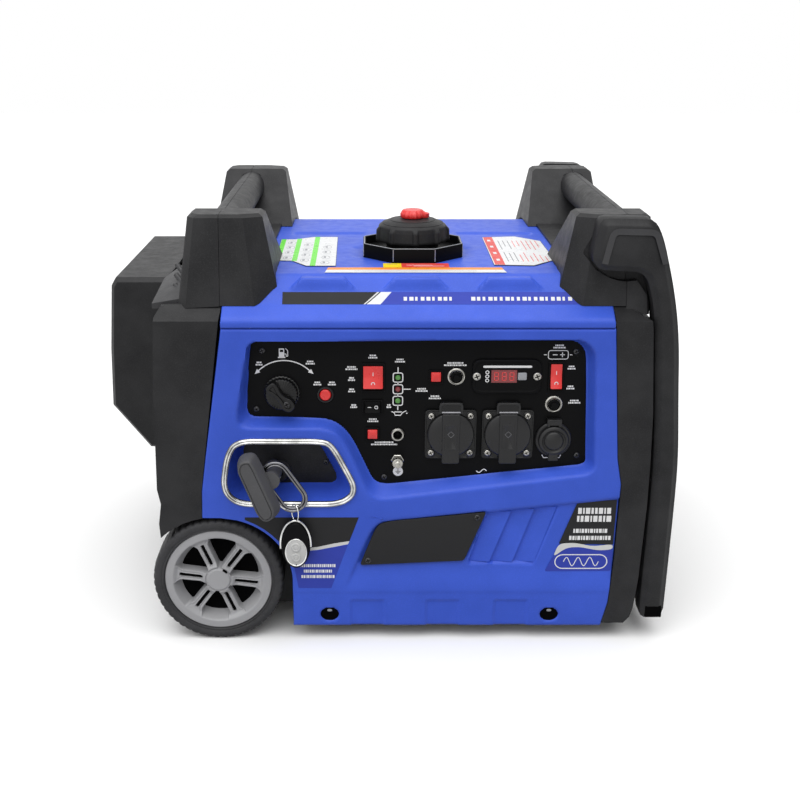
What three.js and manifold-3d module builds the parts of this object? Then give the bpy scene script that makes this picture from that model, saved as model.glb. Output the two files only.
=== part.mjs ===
// A wheeled inverter generator: plastic casing, carry handles, trolley handle, controls and engine.
// Millimetres, +Z up. X runs along the casing (wheels at -X), -Y is the control side, Z = 0 is the ground.
import * as THREE from "three";
import { ConvexGeometry } from "three/addons/geometries/ConvexGeometry.js";
import { mergeVertices } from "three/addons/utils/BufferGeometryUtils.js";
import Module from "manifold-3d";

const wasm = await Module();
wasm.setup();

// ---- Driving dimensions -------------------------------------------------------------------------
const CASE_DEPTH = 428; // face of the front panel to face of the rear panel
const CASE_LENGTH = 370; // top cover, end to end
const CASE_OFFSET = 1; // middle of the top cover from the filler, along X
const CASE_TOP = 372; // flat of the top cover
const CASE_SEAM = 328.5; // joint of the top cover and the panels
const CASE_BOTTOM = 18; // underside of the casing
const WALL = 3; // plastic walls
const GAP = 0.3; // clearance of fixed neighbours
const RUN = 0.8; // clearance of moving pieces

const WHEEL_RADIUS = 65.5;
const WHEEL_WIDTH = 40;
const RIM_RADIUS = 54;
const AXLE_RADIUS = 6;
const ARCH_TOP_GAP = 4; // above the tyre
const ARCH_SIDE_GAP = 9.5; // beside the tyre

const HANDLE_TOP = 430; // top of the handle towers
const GRIP_RADIUS = 16;
const GRIP_DROP = 19; // axis of both carry grips, below the towers' tops
const INTAKE_REACH = 118; // half length of the intake cover, along Y
const LEFT_GRIP_OUT = 2; // left grip's axis, outside the top cover's end
const RIGHT_GRIP_OUT = 12; // right grip's axis, outside the top cover's end
const PIVOT_RADIUS = 5;
const TROLLEY_DEPTH = 26.7; // thickness of a trolley arm along Y

const PANEL_SETBACK = 14; // control plate behind the front panel's face
const PANEL_THICKNESS = 3;
const RECESS_SETBACK = 34; // recoil plate behind the front panel's face
const SOCKET_SPACING = 55.5;
const SOCKET_FLANGE = 50;

const REEL_RADIUS = 42; // floor of the recoil reel's rope groove
const ROPE_RADIUS = 2.5;
const CRANK_HEIGHT = 127;
const CRANK_RADIUS = 15;
const TANK_HEIGHT = 92;

// ---- Derived planes -----------------------------------------------------------------------------
const FACE = CASE_DEPTH / 2;
const LEFT = CASE_OFFSET - CASE_LENGTH / 2;
const RIGHT = CASE_OFFSET + CASE_LENGTH / 2;
const LEFT_GRIP_X = LEFT - LEFT_GRIP_OUT;
const RIGHT_GRIP_X = RIGHT + RIGHT_GRIP_OUT;
const GRIP_HEIGHT = HANDLE_TOP - GRIP_DROP;
const WHEEL_X = LEFT - 13;
const AXLE_Z = WHEEL_RADIUS;
const WHEEL_INNER = FACE - WHEEL_WIDTH;
const HUB_SHELF = WHEEL_INNER - 6; // outer face of the tray between the wheels
const FLOOR_TOP = CASE_BOTTOM + 4;
const PLATE_FRONT = -(FACE - PANEL_SETBACK) + GAP;
const PLATE_BACK = PLATE_FRONT + PANEL_THICKNESS;
const ROPE_Z = CRANK_HEIGHT + REEL_RADIUS + ROPE_RADIUS + GAP;
const ROPE_X = -135;

const generator = new THREE.Group();

// ---- Materials ----------------------------------------------------------------------------------
function finish(color, roughness, metalness) {
  return new THREE.MeshStandardMaterial({ color, roughness, metalness, flatShading: true });
}
const bluePlastic = finish(0x2d48b4, 0.42, 0);
const blackPlastic = finish(0x2b2b2e, 0.6, 0);
const glossBlack = finish(0x151517, 0.25, 0);
const redPlastic = finish(0xcf2029, 0.35, 0);
const greyPlastic = finish(0xa2a2a6, 0.5, 0);
const rubber = finish(0x1b1b1d, 0.85, 0);
const chrome = finish(0xd8d8dc, 0.12, 1);
const steel = finish(0x9a9ca0, 0.35, 1);
const castAluminium = finish(0xa9abae, 0.5, 1);
const blackSteel = finish(0x242427, 0.55, 0.4);
const copperGrey = finish(0x8a7160, 0.5, 0.8);
const ropeWhite = finish(0xd9d6cc, 0.9, 0);

// ---- Solid helpers ------------------------------------------------------------------------------
function solid(geometry) {
  const bare = new THREE.BufferGeometry();
  bare.setAttribute("position", geometry.getAttribute("position").clone());
  if (geometry.index) {
    bare.setIndex(geometry.index.clone());
  }
  const merged = mergeVertices(bare, 1e-4);
  const index = merged.index.array;
  const triangles = [];
  for (let i = 0; i < index.length; i += 3) {
    const [a, b, c] = [index[i], index[i + 1], index[i + 2]];
    if (a !== b && b !== c && c !== a) {
      triangles.push(a, b, c);
    }
  }
  return new wasm.Manifold(
    new wasm.Mesh({
      numProp: 3,
      vertProperties: new Float32Array(merged.getAttribute("position").array),
      triVerts: new Uint32Array(triangles),
    }),
  );
}

const join = (first, ...others) => others.reduce((sum, other) => sum.add(other), first);
const cut = (body, ...tools) => tools.reduce((rest, tool) => rest.subtract(tool), body);
const common = (first, second) => first.intersect(second);

// Turns a shape drawn in its own plane and pushed along its normal to stand on the x, y or z axis.
function alongAxis(geometry, axis, to) {
  const turn = new THREE.Matrix4();
  if (axis === "x") {
    turn.makeBasis(new THREE.Vector3(0, 1, 0), new THREE.Vector3(0, 0, 1), new THREE.Vector3(1, 0, 0));
    turn.setPosition(to[0], 0, 0);
  } else if (axis === "y") {
    turn.makeBasis(new THREE.Vector3(1, 0, 0), new THREE.Vector3(0, 0, 1), new THREE.Vector3(0, -1, 0));
    turn.setPosition(0, to[1], 0);
  } else {
    turn.setPosition(0, 0, to[0]);
  }
  return geometry.applyMatrix4(turn);
}

// A straight-sided outline, with its corners eased by quadratic curves when a radius is given.
function outline(points, radius = 0) {
  const corners = points.map(([u, v]) => new THREE.Vector2(u, v));
  if (radius === 0) {
    return new THREE.Shape(corners);
  }
  const shape = new THREE.Shape();
  corners.forEach((corner, i) => {
    const before = corners.at(i - 1);
    const after = corners[(i + 1) % corners.length];
    const reach = Math.min(radius, 0.45 * corner.distanceTo(before), 0.45 * corner.distanceTo(after));
    const start = corner.clone().add(before.clone().sub(corner).setLength(reach));
    const end = corner.clone().add(after.clone().sub(corner).setLength(reach));
    if (i === 0) {
      shape.moveTo(start.x, start.y);
    } else {
      shape.lineTo(start.x, start.y);
    }
    shape.quadraticCurveTo(corner.x, corner.y, end.x, end.y);
  });
  shape.closePath();
  return shape;
}

// A slab of an outline between two planes: x slabs are drawn in (y, z), y in (x, z), z in (x, y).
function slab(axis, shape, from, to) {
  const drawn = Array.isArray(shape) ? outline(shape) : shape;
  const options = { depth: to - from, bevelEnabled: false, curveSegments: 4 };
  return solid(alongAxis(new THREE.ExtrudeGeometry(drawn, options), axis, [from, to]));
}

function box(x0, x1, y0, y1, z0, z1) {
  const geometry = new THREE.BoxGeometry(x1 - x0, y1 - y0, z1 - z0);
  return solid(geometry.translate((x0 + x1) / 2, (y0 + y1) / 2, (z0 + z1) / 2));
}

// A rod, or a cone frustum, along an axis; at gives the two other coordinates in x, y, z order.
function rod(axis, at, radius, from, to, sides = 24, endRadius = radius) {
  const geometry = new THREE.CylinderGeometry(endRadius, radius, to - from, sides);
  const middle = (from + to) / 2;
  if (axis === "x") {
    return solid(geometry.rotateZ(-Math.PI / 2).translate(middle, at[0], at[1]));
  }
  if (axis === "y") {
    return solid(geometry.translate(at[0], middle, at[1]));
  }
  return solid(geometry.rotateX(Math.PI / 2).translate(at[0], at[1], middle));
}

// A turned body: the profile holds (radius, place along the axis) and starts and ends on the axis.
function turned(axis, at, profile, sides = 32) {
  const points = profile.map(([radius, along]) => new THREE.Vector2(radius, along));
  const geometry = new THREE.LatheGeometry(points, sides);
  if (axis === "x") {
    geometry.rotateZ(-Math.PI / 2).translate(0, at[0], at[1]);
  } else if (axis === "y") {
    geometry.translate(at[0], 0, at[1]);
  } else {
    geometry.rotateX(Math.PI / 2).translate(at[0], at[1], 0);
  }
  const body = solid(geometry);
  return body.volume() < 0 ? solid(flipped(geometry)) : body;
}

function flipped(geometry) {
  const copy = geometry.toNonIndexed();
  const position = copy.getAttribute("position");
  const corner = new THREE.Vector3();
  const other = new THREE.Vector3();
  for (let i = 0; i < position.count; i += 3) {
    corner.fromBufferAttribute(position, i);
    other.fromBufferAttribute(position, i + 1);
    position.setXYZ(i, other.x, other.y, other.z);
    position.setXYZ(i + 1, corner.x, corner.y, corner.z);
  }
  return copy;
}

function hull(points) {
  return solid(new ConvexGeometry(points.map(([x, y, z]) => new THREE.Vector3(x, y, z))));
}

// A convex outline at one depth along Y blended straight to another at a second depth.
function taper(first, firstY, second, secondY) {
  const rings = [...first.map(([x, z]) => [x, firstY, z]), ...second.map(([x, z]) => [x, secondY, z])];
  return hull(rings);
}

// An outline moved outwards by a distance, corner by corner along the bisector.
function grown(points, distance) {
  let area = 0;
  points.forEach(([u, v], i) => {
    const [nextU, nextV] = points[(i + 1) % points.length];
    area += u * nextV - nextU * v;
  });
  const side = Math.sign(area);
  return points.map((point, i) => {
    const corner = new THREE.Vector2(...point);
    const before = new THREE.Vector2(...points.at(i - 1));
    const after = new THREE.Vector2(...points[(i + 1) % points.length]);
    const inward = corner.clone().sub(before).normalize();
    const outward = after.clone().sub(corner).normalize();
    const normal = new THREE.Vector2(inward.y + outward.y, -inward.x - outward.x).normalize();
    const spread = Math.max(0.35, normal.dot(new THREE.Vector2(inward.y, -inward.x)));
    corner.addScaledVector(normal, (side * distance) / spread);
    return [corner.x, corner.y];
  });
}

function mesh(name, body, material) {
  const result = body.getMesh();
  const geometry = new THREE.BufferGeometry();
  geometry.setAttribute("position", new THREE.BufferAttribute(new Float32Array(result.vertProperties), 3));
  geometry.setIndex(new THREE.BufferAttribute(new Uint32Array(result.triVerts), 1));
  geometry.computeVertexNormals();
  const made = new THREE.Mesh(geometry, material);
  made.name = name;
  return made;
}

function add(name, body, material, place = [0, 0, 0]) {
  const made = mesh(name, body, material);
  made.position.set(...place);
  generator.add(made);
}

// ---- Shared outlines ----------------------------------------------------------------------------
// Upper case section in (y, z): sides, shoulder slope and flat top, moved out by grow.
function caseSection(grow, top = CASE_TOP, bottom = 0) {
  const side = FACE + grow;
  const half = [
    [side, bottom],
    [side, CASE_SEAM + 7.5 + grow],
    [side - 19, Math.min(top, CASE_SEAM + 19.5) + grow],
    [side - 29, Math.min(top + 0.5, CASE_SEAM + 30.5) + grow],
    [side - 69, top + 1 + grow],
  ];
  return [...half, ...half.map(([y, z]) => [-y, z]).reverse()];
}

const archRise = WHEEL_RADIUS + ARCH_TOP_GAP;
const archReach = WHEEL_RADIUS + ARCH_SIDE_GAP;
const archAngleAt = (x) => Math.acos((x - WHEEL_X) / archReach);

// Points along the wheel arch from one x to a larger one.
function archPoints(fromX, toX, steps) {
  const start = archAngleAt(fromX);
  const end = archAngleAt(toX);
  return Array.from({ length: steps + 1 }, (_, i) => {
    const angle = start + ((end - start) * i) / steps;
    return [WHEEL_X + archReach * Math.cos(angle), AXLE_Z + archRise * Math.sin(angle)];
  });
}

const panelFoot = LEFT - 26; // lowest left corner of a panel, on the wheel arch
function panelOutline() {
  return [
    [LEFT, CASE_SEAM - GAP],
    [LEFT - 20, 198],
    [LEFT - 25, 163],
    ...archPoints(panelFoot, WHEEL_X + archReach - 0.01, 10),
    [WHEEL_X + archReach + 1, CASE_BOTTOM],
    [RIGHT + 5, CASE_BOTTOM],
    [RIGHT + 11, 41],
    [RIGHT + 14, 86],
    [RIGHT + 16, 170],
    [RIGHT + 11, 197],
    [RIGHT + 1, CASE_SEAM - GAP],
  ];
}

const capLeft = LEFT - 67; // widest part of the left end cap
function leftCapOutline() {
  return [
    [LEFT - GAP, CASE_SEAM + 20.5],
    [capLeft + 9, CASE_SEAM + 17.5],
    [capLeft + 4, CASE_SEAM + 9.5],
    [capLeft, 265],
    [capLeft - 2, 165],
    [capLeft + 1, 149],
    [capLeft - 2, 128],
    ...archPoints(capLeft - 1, panelFoot - GAP, 5),
    [LEFT - 25 - GAP, 163],
    [LEFT - 20 - GAP, 198],
  ];
}

const capRight = RIGHT + 43; // widest part of the right end cap
function rightCapOutline() {
  return [
    [RIGHT + GAP, CASE_SEAM + 20.5],
    [RIGHT + 8, CASE_SEAM + 20],
    [capRight - 8, CASE_SEAM + 6.5],
    [capRight - 3, CASE_SEAM - 6.5],
    [capRight, 193],
    [capRight, 146],
    [capRight - 3, 67],
    [capRight - 6, 36],
    [capRight - 9, 25],
    [capRight - 15, CASE_BOTTOM],
    [RIGHT + 5 + GAP, CASE_BOTTOM],
    [RIGHT + 11 + GAP, 41],
    [RIGHT + 14 + GAP, 86],
    [RIGHT + 16 + GAP, 170],
    [RIGHT + 11 + GAP, 197],
    [RIGHT + 1 + GAP, CASE_SEAM],
  ];
}

// ---- Casing -------------------------------------------------------------------------------------
const FILLER_Y = -65;
const NECK_RADIUS = 27;

function topCover() {
  const shell = cut(
    slab("x", caseSection(0, CASE_TOP - 1), LEFT, RIGHT),
    slab("x", caseSection(-WALL, CASE_TOP - 1, -10), LEFT - 1, RIGHT + 1),
    box(LEFT - 1, RIGHT + 1, -FACE - 1, FACE + 1, -20, CASE_SEAM),
  );
  const ribs = [-89, 0, 89].flatMap((x) => [-1, 1].map((side) => shoulderRib(x, side)));
  return cut(join(shell, ...ribs), rod("z", [0, FILLER_Y], NECK_RADIUS + GAP, 300, 400, 32));
}

// A wedge on the shoulder slope, level with the flat top.
function shoulderRib(x, side) {
  const foot = FACE - 31;
  const crest = FACE - 52;
  const back = FACE - 72;
  const low = CASE_TOP - 8;
  const points = [];
  for (const across of [-1, 1]) {
    points.push([x + across * 20, side * foot, low - 5]);
    points.push([x + across * 14, side * crest, CASE_TOP]);
    points.push([x + across * 14, side * back, CASE_TOP]);
    points.push([x + across * 20, side * back, low]);
  }
  return hull(points);
}

// The panel's skirt: shallow notches along its lower edge and two drain holes.
function skirtCuts(side) {
  const outer = side * (FACE + 1);
  const inner = side * (FACE - 1.2);
  const [near, far] = [Math.min(outer, inner), Math.max(outer, inner)];
  const notches = [-63, 13, 82].map((x) => box(x, x + 33, near, far, CASE_BOTTOM - 1, 43));
  const holes = [-85, 138].map((x) => {
    const shape = new THREE.Shape().absellipse(x, 29.5, 9.5, 7.5, 0, 2 * Math.PI);
    return slab("y", shape, side > 0 ? FACE - 20 : -FACE - 2, side > 0 ? FACE + 2 : -FACE + 20);
  });
  return [...notches, ...holes];
}

// The part of a wheel-well roof between two x, behind the panel on one side.
function archRoof(side, fromX, toX) {
  const under = archPoints(fromX, toX, 8);
  const over = under.map(([x, z]) => [x, z + 2.5]).reverse();
  const shape = [...under, ...over];
  const near = side * (FACE - 1.5);
  const far = side * (WHEEL_INNER - 3);
  return slab("y", shape, Math.min(near, far), Math.max(near, far));
}

function panelPlate(side) {
  const outer = side * FACE;
  const inner = side * (FACE - WALL);
  const plate = slab("y", panelOutline(), Math.min(outer, inner), Math.max(outer, inner));
  const roof = archRoof(side, panelFoot, WHEEL_X + archReach - 1);
  return cut(join(plate, roof), ...skirtCuts(side));
}

const bezelRim = [
  [-159, 314], [157, 317], [170, 307], [177, 192], [-42, 165], [-70, 217], [-88, 226], [-170, 226],
  [-173, 236],
];
const controlWindow = [
  [-154, 313], [153, 313], [162, 303], [168, 192], [165, 187], [-28, 166], [-40, 169], [-63, 219], [-81, 235],
  [-159, 237], [-163, 243], [-159, 308],
];
const recessMouth = [
  [-172, 217], [-89, 217], [-83, 213], [-59, 165], [-73, 148], [-174, 148], [-188, 165], [-182, 202],
];
const recessFloor = [
  [-168, 200], [-96, 200], [-92, 196], [-77, 166], [-80, 159], [-167, 159], [-171, 164], [-170, 196],
];

// Sloping sides of the control window: one block above the step and one beside it.
function bezelFunnel() {
  const plate = -FACE + PANEL_SETBACK;
  const upper = taper(
    [[-159, 315], [157, 318], [171, 307], [174, 227], [-170, 227], [-173, 236]],
    -FACE - 0.1,
    [[-154, 313], [153, 313], [162, 303], [165, 238], [-163, 243], [-159, 308]],
    plate + 0.1,
  );
  const lower = taper(
    [[-80, 240], [175, 240], [177, 192], [-42, 164], [-72, 217]],
    -FACE - 0.1,
    [[-68, 245], [165, 245], [168, 192], [165, 187], [-28, 166], [-40, 169]],
    plate + 0.1,
  );
  return [upper, lower];
}

function frontPanel() {
  const back = -FACE + PANEL_SETBACK;
  const bezel = slab("y", outline(grown(bezelRim, 3)), -FACE + 1, back);
  const well = common(
    taper(grown(recessMouth, 3), -FACE, grown(recessFloor, 3), -FACE + RECESS_SETBACK),
    box(-300, 0, -FACE + 1, -FACE + RECESS_SETBACK, 0, 300),
  );
  const wellCut = taper(recessMouth, -FACE - 0.1, recessFloor, -FACE + RECESS_SETBACK + 0.1);
  const body = cut(join(panelPlate(-1), bezel, well), wellCut, ...bezelFunnel());
  return cut(body, ...louvres());
}

// Three slanted louvre slots beside the name plate.
function louvres() {
  const slots = [
    [[74, 141], [90, 143], [65, 85], [54, 85]],
    [[98, 146], [114, 147], [87, 86], [76, 86]],
    [[123, 149], [139, 150], [111, 87], [99, 87]],
  ];
  return slots.map((slot) => slab("y", slot, -FACE - 1, -FACE + 1.6));
}

const DOOR = { left: -150, right: 20, low: 112, high: 300 };

function rearPanel() {
  const opening = box(DOOR.left, DOOR.right, FACE - 30, FACE + 2, DOOR.low, DOOR.high);
  const slots = Array.from({ length: 6 }, (_, i) => {
    const z = 120 + 24 * i;
    return slab("y", [[60, z], [160, z], [166, z + 9], [66, z + 9]], FACE - 10, FACE + 2);
  });
  return cut(panelPlate(1), opening, ...slots);
}

function maintenanceDoor() {
  const plate = box(DOOR.left + RUN, DOOR.right - RUN, FACE - WALL, FACE, DOOR.low + RUN, DOOR.high - RUN);
  const pull = box(DOOR.right - 26, DOOR.right - 10, FACE - 1, FACE + 1.5, 190, 222);
  return join(plate, pull);
}

// ---- End caps and carry handles -----------------------------------------------------------------
const TOWER_HEEL = FACE - 173; // inner end of a tower's foot, under the cover's flat
const SHELF_END = FACE - 128;

// A handle tower around a grip: rings at its foot, below its top edge and at its top plateau.
function tower(spec, side, inset) {
  const [footOut, footIn] = spec.foot;
  const [topOut, topIn] = spec.top;
  const inward = Math.sign(footIn - footOut);
  const front = spec.front - inset;
  const foot = [
    [footOut + inward * inset, front - 8], [footOut + inward * (inset + 8), front],
    [footIn - inward * (inset + 24), front], [footIn - inward * inset, front - 15],
    [footIn - inward * inset, TOWER_HEEL + inset], [footOut + inward * inset, TOWER_HEEL + inset],
  ];
  const top = [
    [topOut + inward * inset, front - 24], [topOut + inward * (inset + 7), front - 16],
    [topIn - inward * (inset + 18), front - 16], [topIn - inward * inset, front - 24],
    [topIn - inward * inset, FACE - 71 + inset], [topOut + inward * inset, FACE - 71 + inset],
  ];
  const middleX = (topOut + topIn) / 2;
  const middleY = FACE - 52;
  const plateau = top.map(([x, y]) => [x + 4 * Math.sign(middleX - x), y + 3 * Math.sign(middleY - y)]);
  const points = [
    ...foot.map(([x, y]) => [x, side * y, CASE_SEAM + 10]),
    ...top.map(([x, y]) => [x, side * y, HANDLE_TOP - 3 - inset]),
    ...plateau.map(([x, y]) => [x, side * y, HANDLE_TOP - inset]),
  ];
  return hull(points);
}

const leftTower = { foot: [LEFT - 43, LEFT + 56], top: [LEFT - 32, LEFT + 39], front: FACE - 14 };
const rightTower = { foot: [RIGHT + 40, RIGHT - 54], top: [RIGHT + 34, RIGHT - 36], front: FACE - 14 };
const hiddenFront = FACE - TROLLEY_DEPTH - 1; // tower face behind a trolley arm

// Both towers of a handle and its grip, as one hollow body around the seam plane.
function handle(spec, gripX, hollowFront) {
  const reach = FACE - 60;
  const towers = [-1, 1].map((side) => tower(spec, side, 0));
  const grip = rod("y", [gripX, GRIP_HEIGHT], GRIP_RADIUS, -reach, reach, 24);
  const collars = [-1, 1].map((side) => {
    const ends = [side * (FACE - 76), side * (FACE - 60)];
    return rod("y", [gripX, GRIP_HEIGHT - 5], GRIP_RADIUS + 5, Math.min(...ends), Math.max(...ends), 24);
  });
  const hollows = [-1, 1].map((side) => tower({ ...spec, front: hollowFront }, side, WALL));
  const bore = rod("y", [gripX, GRIP_HEIGHT], GRIP_RADIUS - WALL, -(FACE - 73), FACE - 73, 20);
  return cut(join(...towers, grip, ...collars), ...hollows, bore);
}

const far = 500;
const leftOf = (x) => box(-far, x, -far, far, -far, far);
const rightOf = (x) => box(x, far, -far, far, -far, far);

function capShell(shape, innerShape, openSide) {
  const outer = common(
    slab("y", shape, -(FACE - 1), FACE - 1),
    slab("x", caseSection(-1, CASE_SEAM + 21.5), -far, far),
  );
  const inner = common(
    slab("y", innerShape, -(FACE - 1 - WALL), FACE - 1 - WALL),
    slab("x", caseSection(-1 - WALL, CASE_SEAM + 21.5), -far, far),
  );
  return cut(outer, inner, openSide);
}

function leftEndCap() {
  const inner = [
    [LEFT + 20, CASE_SEAM + 20.5 - WALL], [capLeft + 8 + WALL, CASE_SEAM + 17.5 - WALL],
    [capLeft + 4 + WALL, CASE_SEAM + 8.5], [capLeft + WALL, 265], [capLeft - 2 + WALL, 165],
    [capLeft + 1 + WALL, 149], [capLeft - 2 + WALL, 128], [capLeft - 2 + WALL, 40], [LEFT + 20, 40],
  ];
  const airWay = box(capLeft - 5, capLeft + 12, -80, 80, 200, 310);
  const shell = capShell(leftCapOutline(), inner, airWay);
  const roofs = [-1, 1].map((side) => archRoof(side, capLeft - 1, panelFoot - GAP));
  const half = common(handle(leftTower, LEFT_GRIP_X, leftTower.front), leftOf(LEFT_GRIP_X));
  return join(shell, cut(half, innerAir(leftCapOutline())), ...roofs);
}

// The space inside a cap under its top wall, kept free of the towers' feet.
function innerAir(shape) {
  const low = shape.map(([x, z]) => [x, z - WALL]);
  const inside = FACE - 1 - WALL;
  return common(slab("y", low, -inside, inside), box(-far, far, -far, far, 0, CASE_SEAM + 21 - WALL));
}

const PIVOT_X = RIGHT_GRIP_X;

function exhaustOpening() {
  return rod("x", [EXHAUST_Y, EXHAUST_Z], 27, capRight - 12, capRight + 5, 24);
}

function rightEndCap() {
  const inner = [
    [RIGHT - 20, CASE_SEAM + 20.5 - WALL], [RIGHT + 7, CASE_SEAM + 20 - WALL],
    [capRight - 7 - WALL, CASE_SEAM + 7.5 - WALL], [capRight - 3 - WALL, CASE_SEAM - 7.5],
    [capRight - WALL, 193], [capRight - WALL, 146], [capRight - 3 - WALL, 67], [capRight - 6 - WALL, 37],
    [capRight - 9 - WALL, 28], [capRight - 13.5 - WALL, CASE_BOTTOM + WALL], [RIGHT - 20, CASE_BOTTOM + WALL],
  ];
  const slots = Array.from({ length: 7 }, (_, i) => {
    const z = 110 + 20 * i;
    return box(capRight - 8, capRight + 5, -120, -20, z, z + 9);
  });
  const shell = cut(capShell(rightCapOutline(), inner, exhaustOpening()), ...slots);
  const half = common(handle(rightTower, RIGHT_GRIP_X, hiddenFront), rightOf(RIGHT_GRIP_X));
  return cut(join(shell, cut(half, innerAir(rightCapOutline()))), ...trolleySpaces());
}

// Room for the trolley arms and their pads as they lie and as they turn, and the rod's holes.
function trolleySpaces() {
  const spaces = [-1, 1].flatMap((side) => {
    const ends = [side * hiddenFront, side * (FACE + 5)];
    const [near, end] = [Math.min(...ends), Math.max(...ends)];
    const shape = outline(grown(armOutline(), 3));
    return [slab("y", shape, near, end), rod("y", [PIVOT_X, GRIP_HEIGHT], 42, near, end, 32)];
  });
  return [...spaces, rod("y", [PIVOT_X, GRIP_HEIGHT], PIVOT_RADIUS + GAP, -FACE, FACE, 16)];
}

function handleShell(spec, gripX, hollowFront, keep, shelfEnds) {
  const half = common(handle(spec, gripX, hollowFront), keep);
  const shelf = box(...shelfEnds, -SHELF_END, SHELF_END, CASE_TOP + GAP, CASE_TOP + WALL);
  return cut(join(half, shelf), slab("x", caseSection(GAP, CASE_TOP - 1), -far, far));
}

function leftHandleShell() {
  const seam = LEFT_GRIP_X + GAP;
  return handleShell(leftTower, LEFT_GRIP_X, leftTower.front, rightOf(seam), [seam, LEFT + 37]);
}

function rightHandleShell() {
  const seam = RIGHT_GRIP_X - GAP;
  const shell = handleShell(rightTower, RIGHT_GRIP_X, hiddenFront, leftOf(seam), [RIGHT - 37, seam]);
  return cut(shell, ...trolleySpaces());
}

function intakeCover() {
  const right = capLeft - GAP;
  const side = [
    [right + 3.5, CASE_SEAM + 26.5], [capLeft - 50, CASE_SEAM + 26.5], [capLeft - 55, CASE_SEAM + 18],
    [capLeft - 60, 280], [capLeft - 62, 219], [capLeft - 25, 172], [right - 2, 172], [right, 265],
  ];
  const eased = grown(side, -4).map(([x, z]) => [x < capLeft - 12 ? x : x + 4, z]);
  const outer = hull([-1, 1].flatMap((end) => [
    ...side.map(([x, z]) => [x, end * (INTAKE_REACH - 6), z]),
    ...eased.map(([x, z]) => [x, end * INTAKE_REACH, z]),
  ]));
  const hollow = [
    [capLeft + 20, CASE_SEAM + 26 - WALL], [capLeft - 51 + WALL, CASE_SEAM + 26 - WALL],
    [capLeft - 55 + WALL, CASE_SEAM + 17], [capLeft - 60 + WALL, 280], [capLeft - 62 + WALL, 221],
    [capLeft - 24, 172.5 + WALL], [capLeft + 20, 172.5 + WALL],
  ];
  const inner = slab("y", hollow, -(INTAKE_REACH - 0.5 - WALL), INTAKE_REACH - 0.5 - WALL);
  const capBody = common(
    slab("y", grown(leftCapOutline(), GAP), -FACE, FACE),
    slab("x", caseSection(0, CASE_SEAM + 21.5), -far, far),
  );
  const vents = [-80, -50, -20, 10, 40, 70].map((y) => box(capLeft - 65, capLeft - 30, y, y + 12, 182, 204));
  return cut(outer, inner, capBody, tower(leftTower, -1, -GAP), tower(leftTower, 1, -GAP), ...vents);
}

// ---- Trolley handle -----------------------------------------------------------------------------
function armOutline() {
  const x = RIGHT;
  return [
    [x - 21, 426], [x - 12, HANDLE_TOP + 1], [x + 20, HANDLE_TOP + 1], [x + 35, 412],
    [x + 50, 365], [x + 60, 317], [x + 66, 258], [x + 71, 197], [x + 71, 149], [x + 70, 81],
    [x + 69, 29], [x + 63, 22], [x + 48, 22], [x + 45, 26], [x + 45, 61], [x + 48, 197],
    [x + 39, 327], [x + 35, 356], [x + 19, 379], [x - 15, 382], [x - 26, 395],
  ];
}

function trolleyHandle() {
  const arms = [-1, 1].map((side) => {
    const ends = [side * (FACE - TROLLEY_DEPTH), side * FACE];
    return slab("y", armOutline(), Math.min(...ends), Math.max(...ends));
  });
  const reach = FACE - TROLLEY_DEPTH + 5;
  const bar = box(RIGHT + 47, RIGHT + 67, -reach, reach, 24, 54);
  const holes = rod("y", [PIVOT_X, GRIP_HEIGHT], PIVOT_RADIUS + GAP, -(FACE - 12), FACE - 12, 16);
  return cut(join(...arms, bar), holes);
}

function trolleyPivotRod() {
  return rod("y", [PIVOT_X, GRIP_HEIGHT], PIVOT_RADIUS, -(FACE - 12 - GAP), FACE - 12 - GAP, 16);
}

// ---- Base, feet, axle and wheels ----------------------------------------------------------------
function baseTray() {
  const middle = WHEEL_X + archReach + 6;
  const left = capLeft + 10;
  const back = FACE - WALL - 2 * GAP;
  const shape = [
    [left, -HUB_SHELF], [middle, -HUB_SHELF], [middle, -back], [RIGHT, -back], [RIGHT, back],
    [middle, back], [middle, HUB_SHELF], [left, HUB_SHELF],
  ];
  const low = slab("z", shape, CASE_BOTTOM, 46);
  const raised = box(left, middle + WALL, -HUB_SHELF, HUB_SHELF, CASE_BOTTOM, 104);
  const lowInside = slab("z", grown(shape, -WALL), FLOOR_TOP, 200);
  return cut(
    join(low, raised),
    lowInside,
    rod("y", [WHEEL_X, AXLE_Z], AXLE_RADIUS + GAP, -FACE, FACE, 16),
  );
}

function foot(side) {
  const ends = [side * 110, side * 150];
  return box(RIGHT - 60, RIGHT - 16, Math.min(...ends), Math.max(...ends), 0, CASE_BOTTOM - GAP);
}

const HUB_DEPTH = 10; // end of the axle behind the wheel's face

function axle() {
  const end = FACE - HUB_DEPTH - GAP;
  return rod("y", [WHEEL_X, AXLE_Z], AXLE_RADIUS, -end, end, 16);
}

// A wheel stands at its own centre, its outer face towards +Y.
function tyre() {
  const half = WHEEL_WIDTH / 2;
  const seat = RIM_RADIUS + GAP;
  const profile = [
    [seat, -half + 3], [WHEEL_RADIUS - 6, -half], [WHEEL_RADIUS, -half + 6], [WHEEL_RADIUS, half - 6],
    [WHEEL_RADIUS - 6, half], [seat, half - 3], [seat, -half + 3],
  ];
  return turned("y", [0, 0], profile, 40);
}

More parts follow.
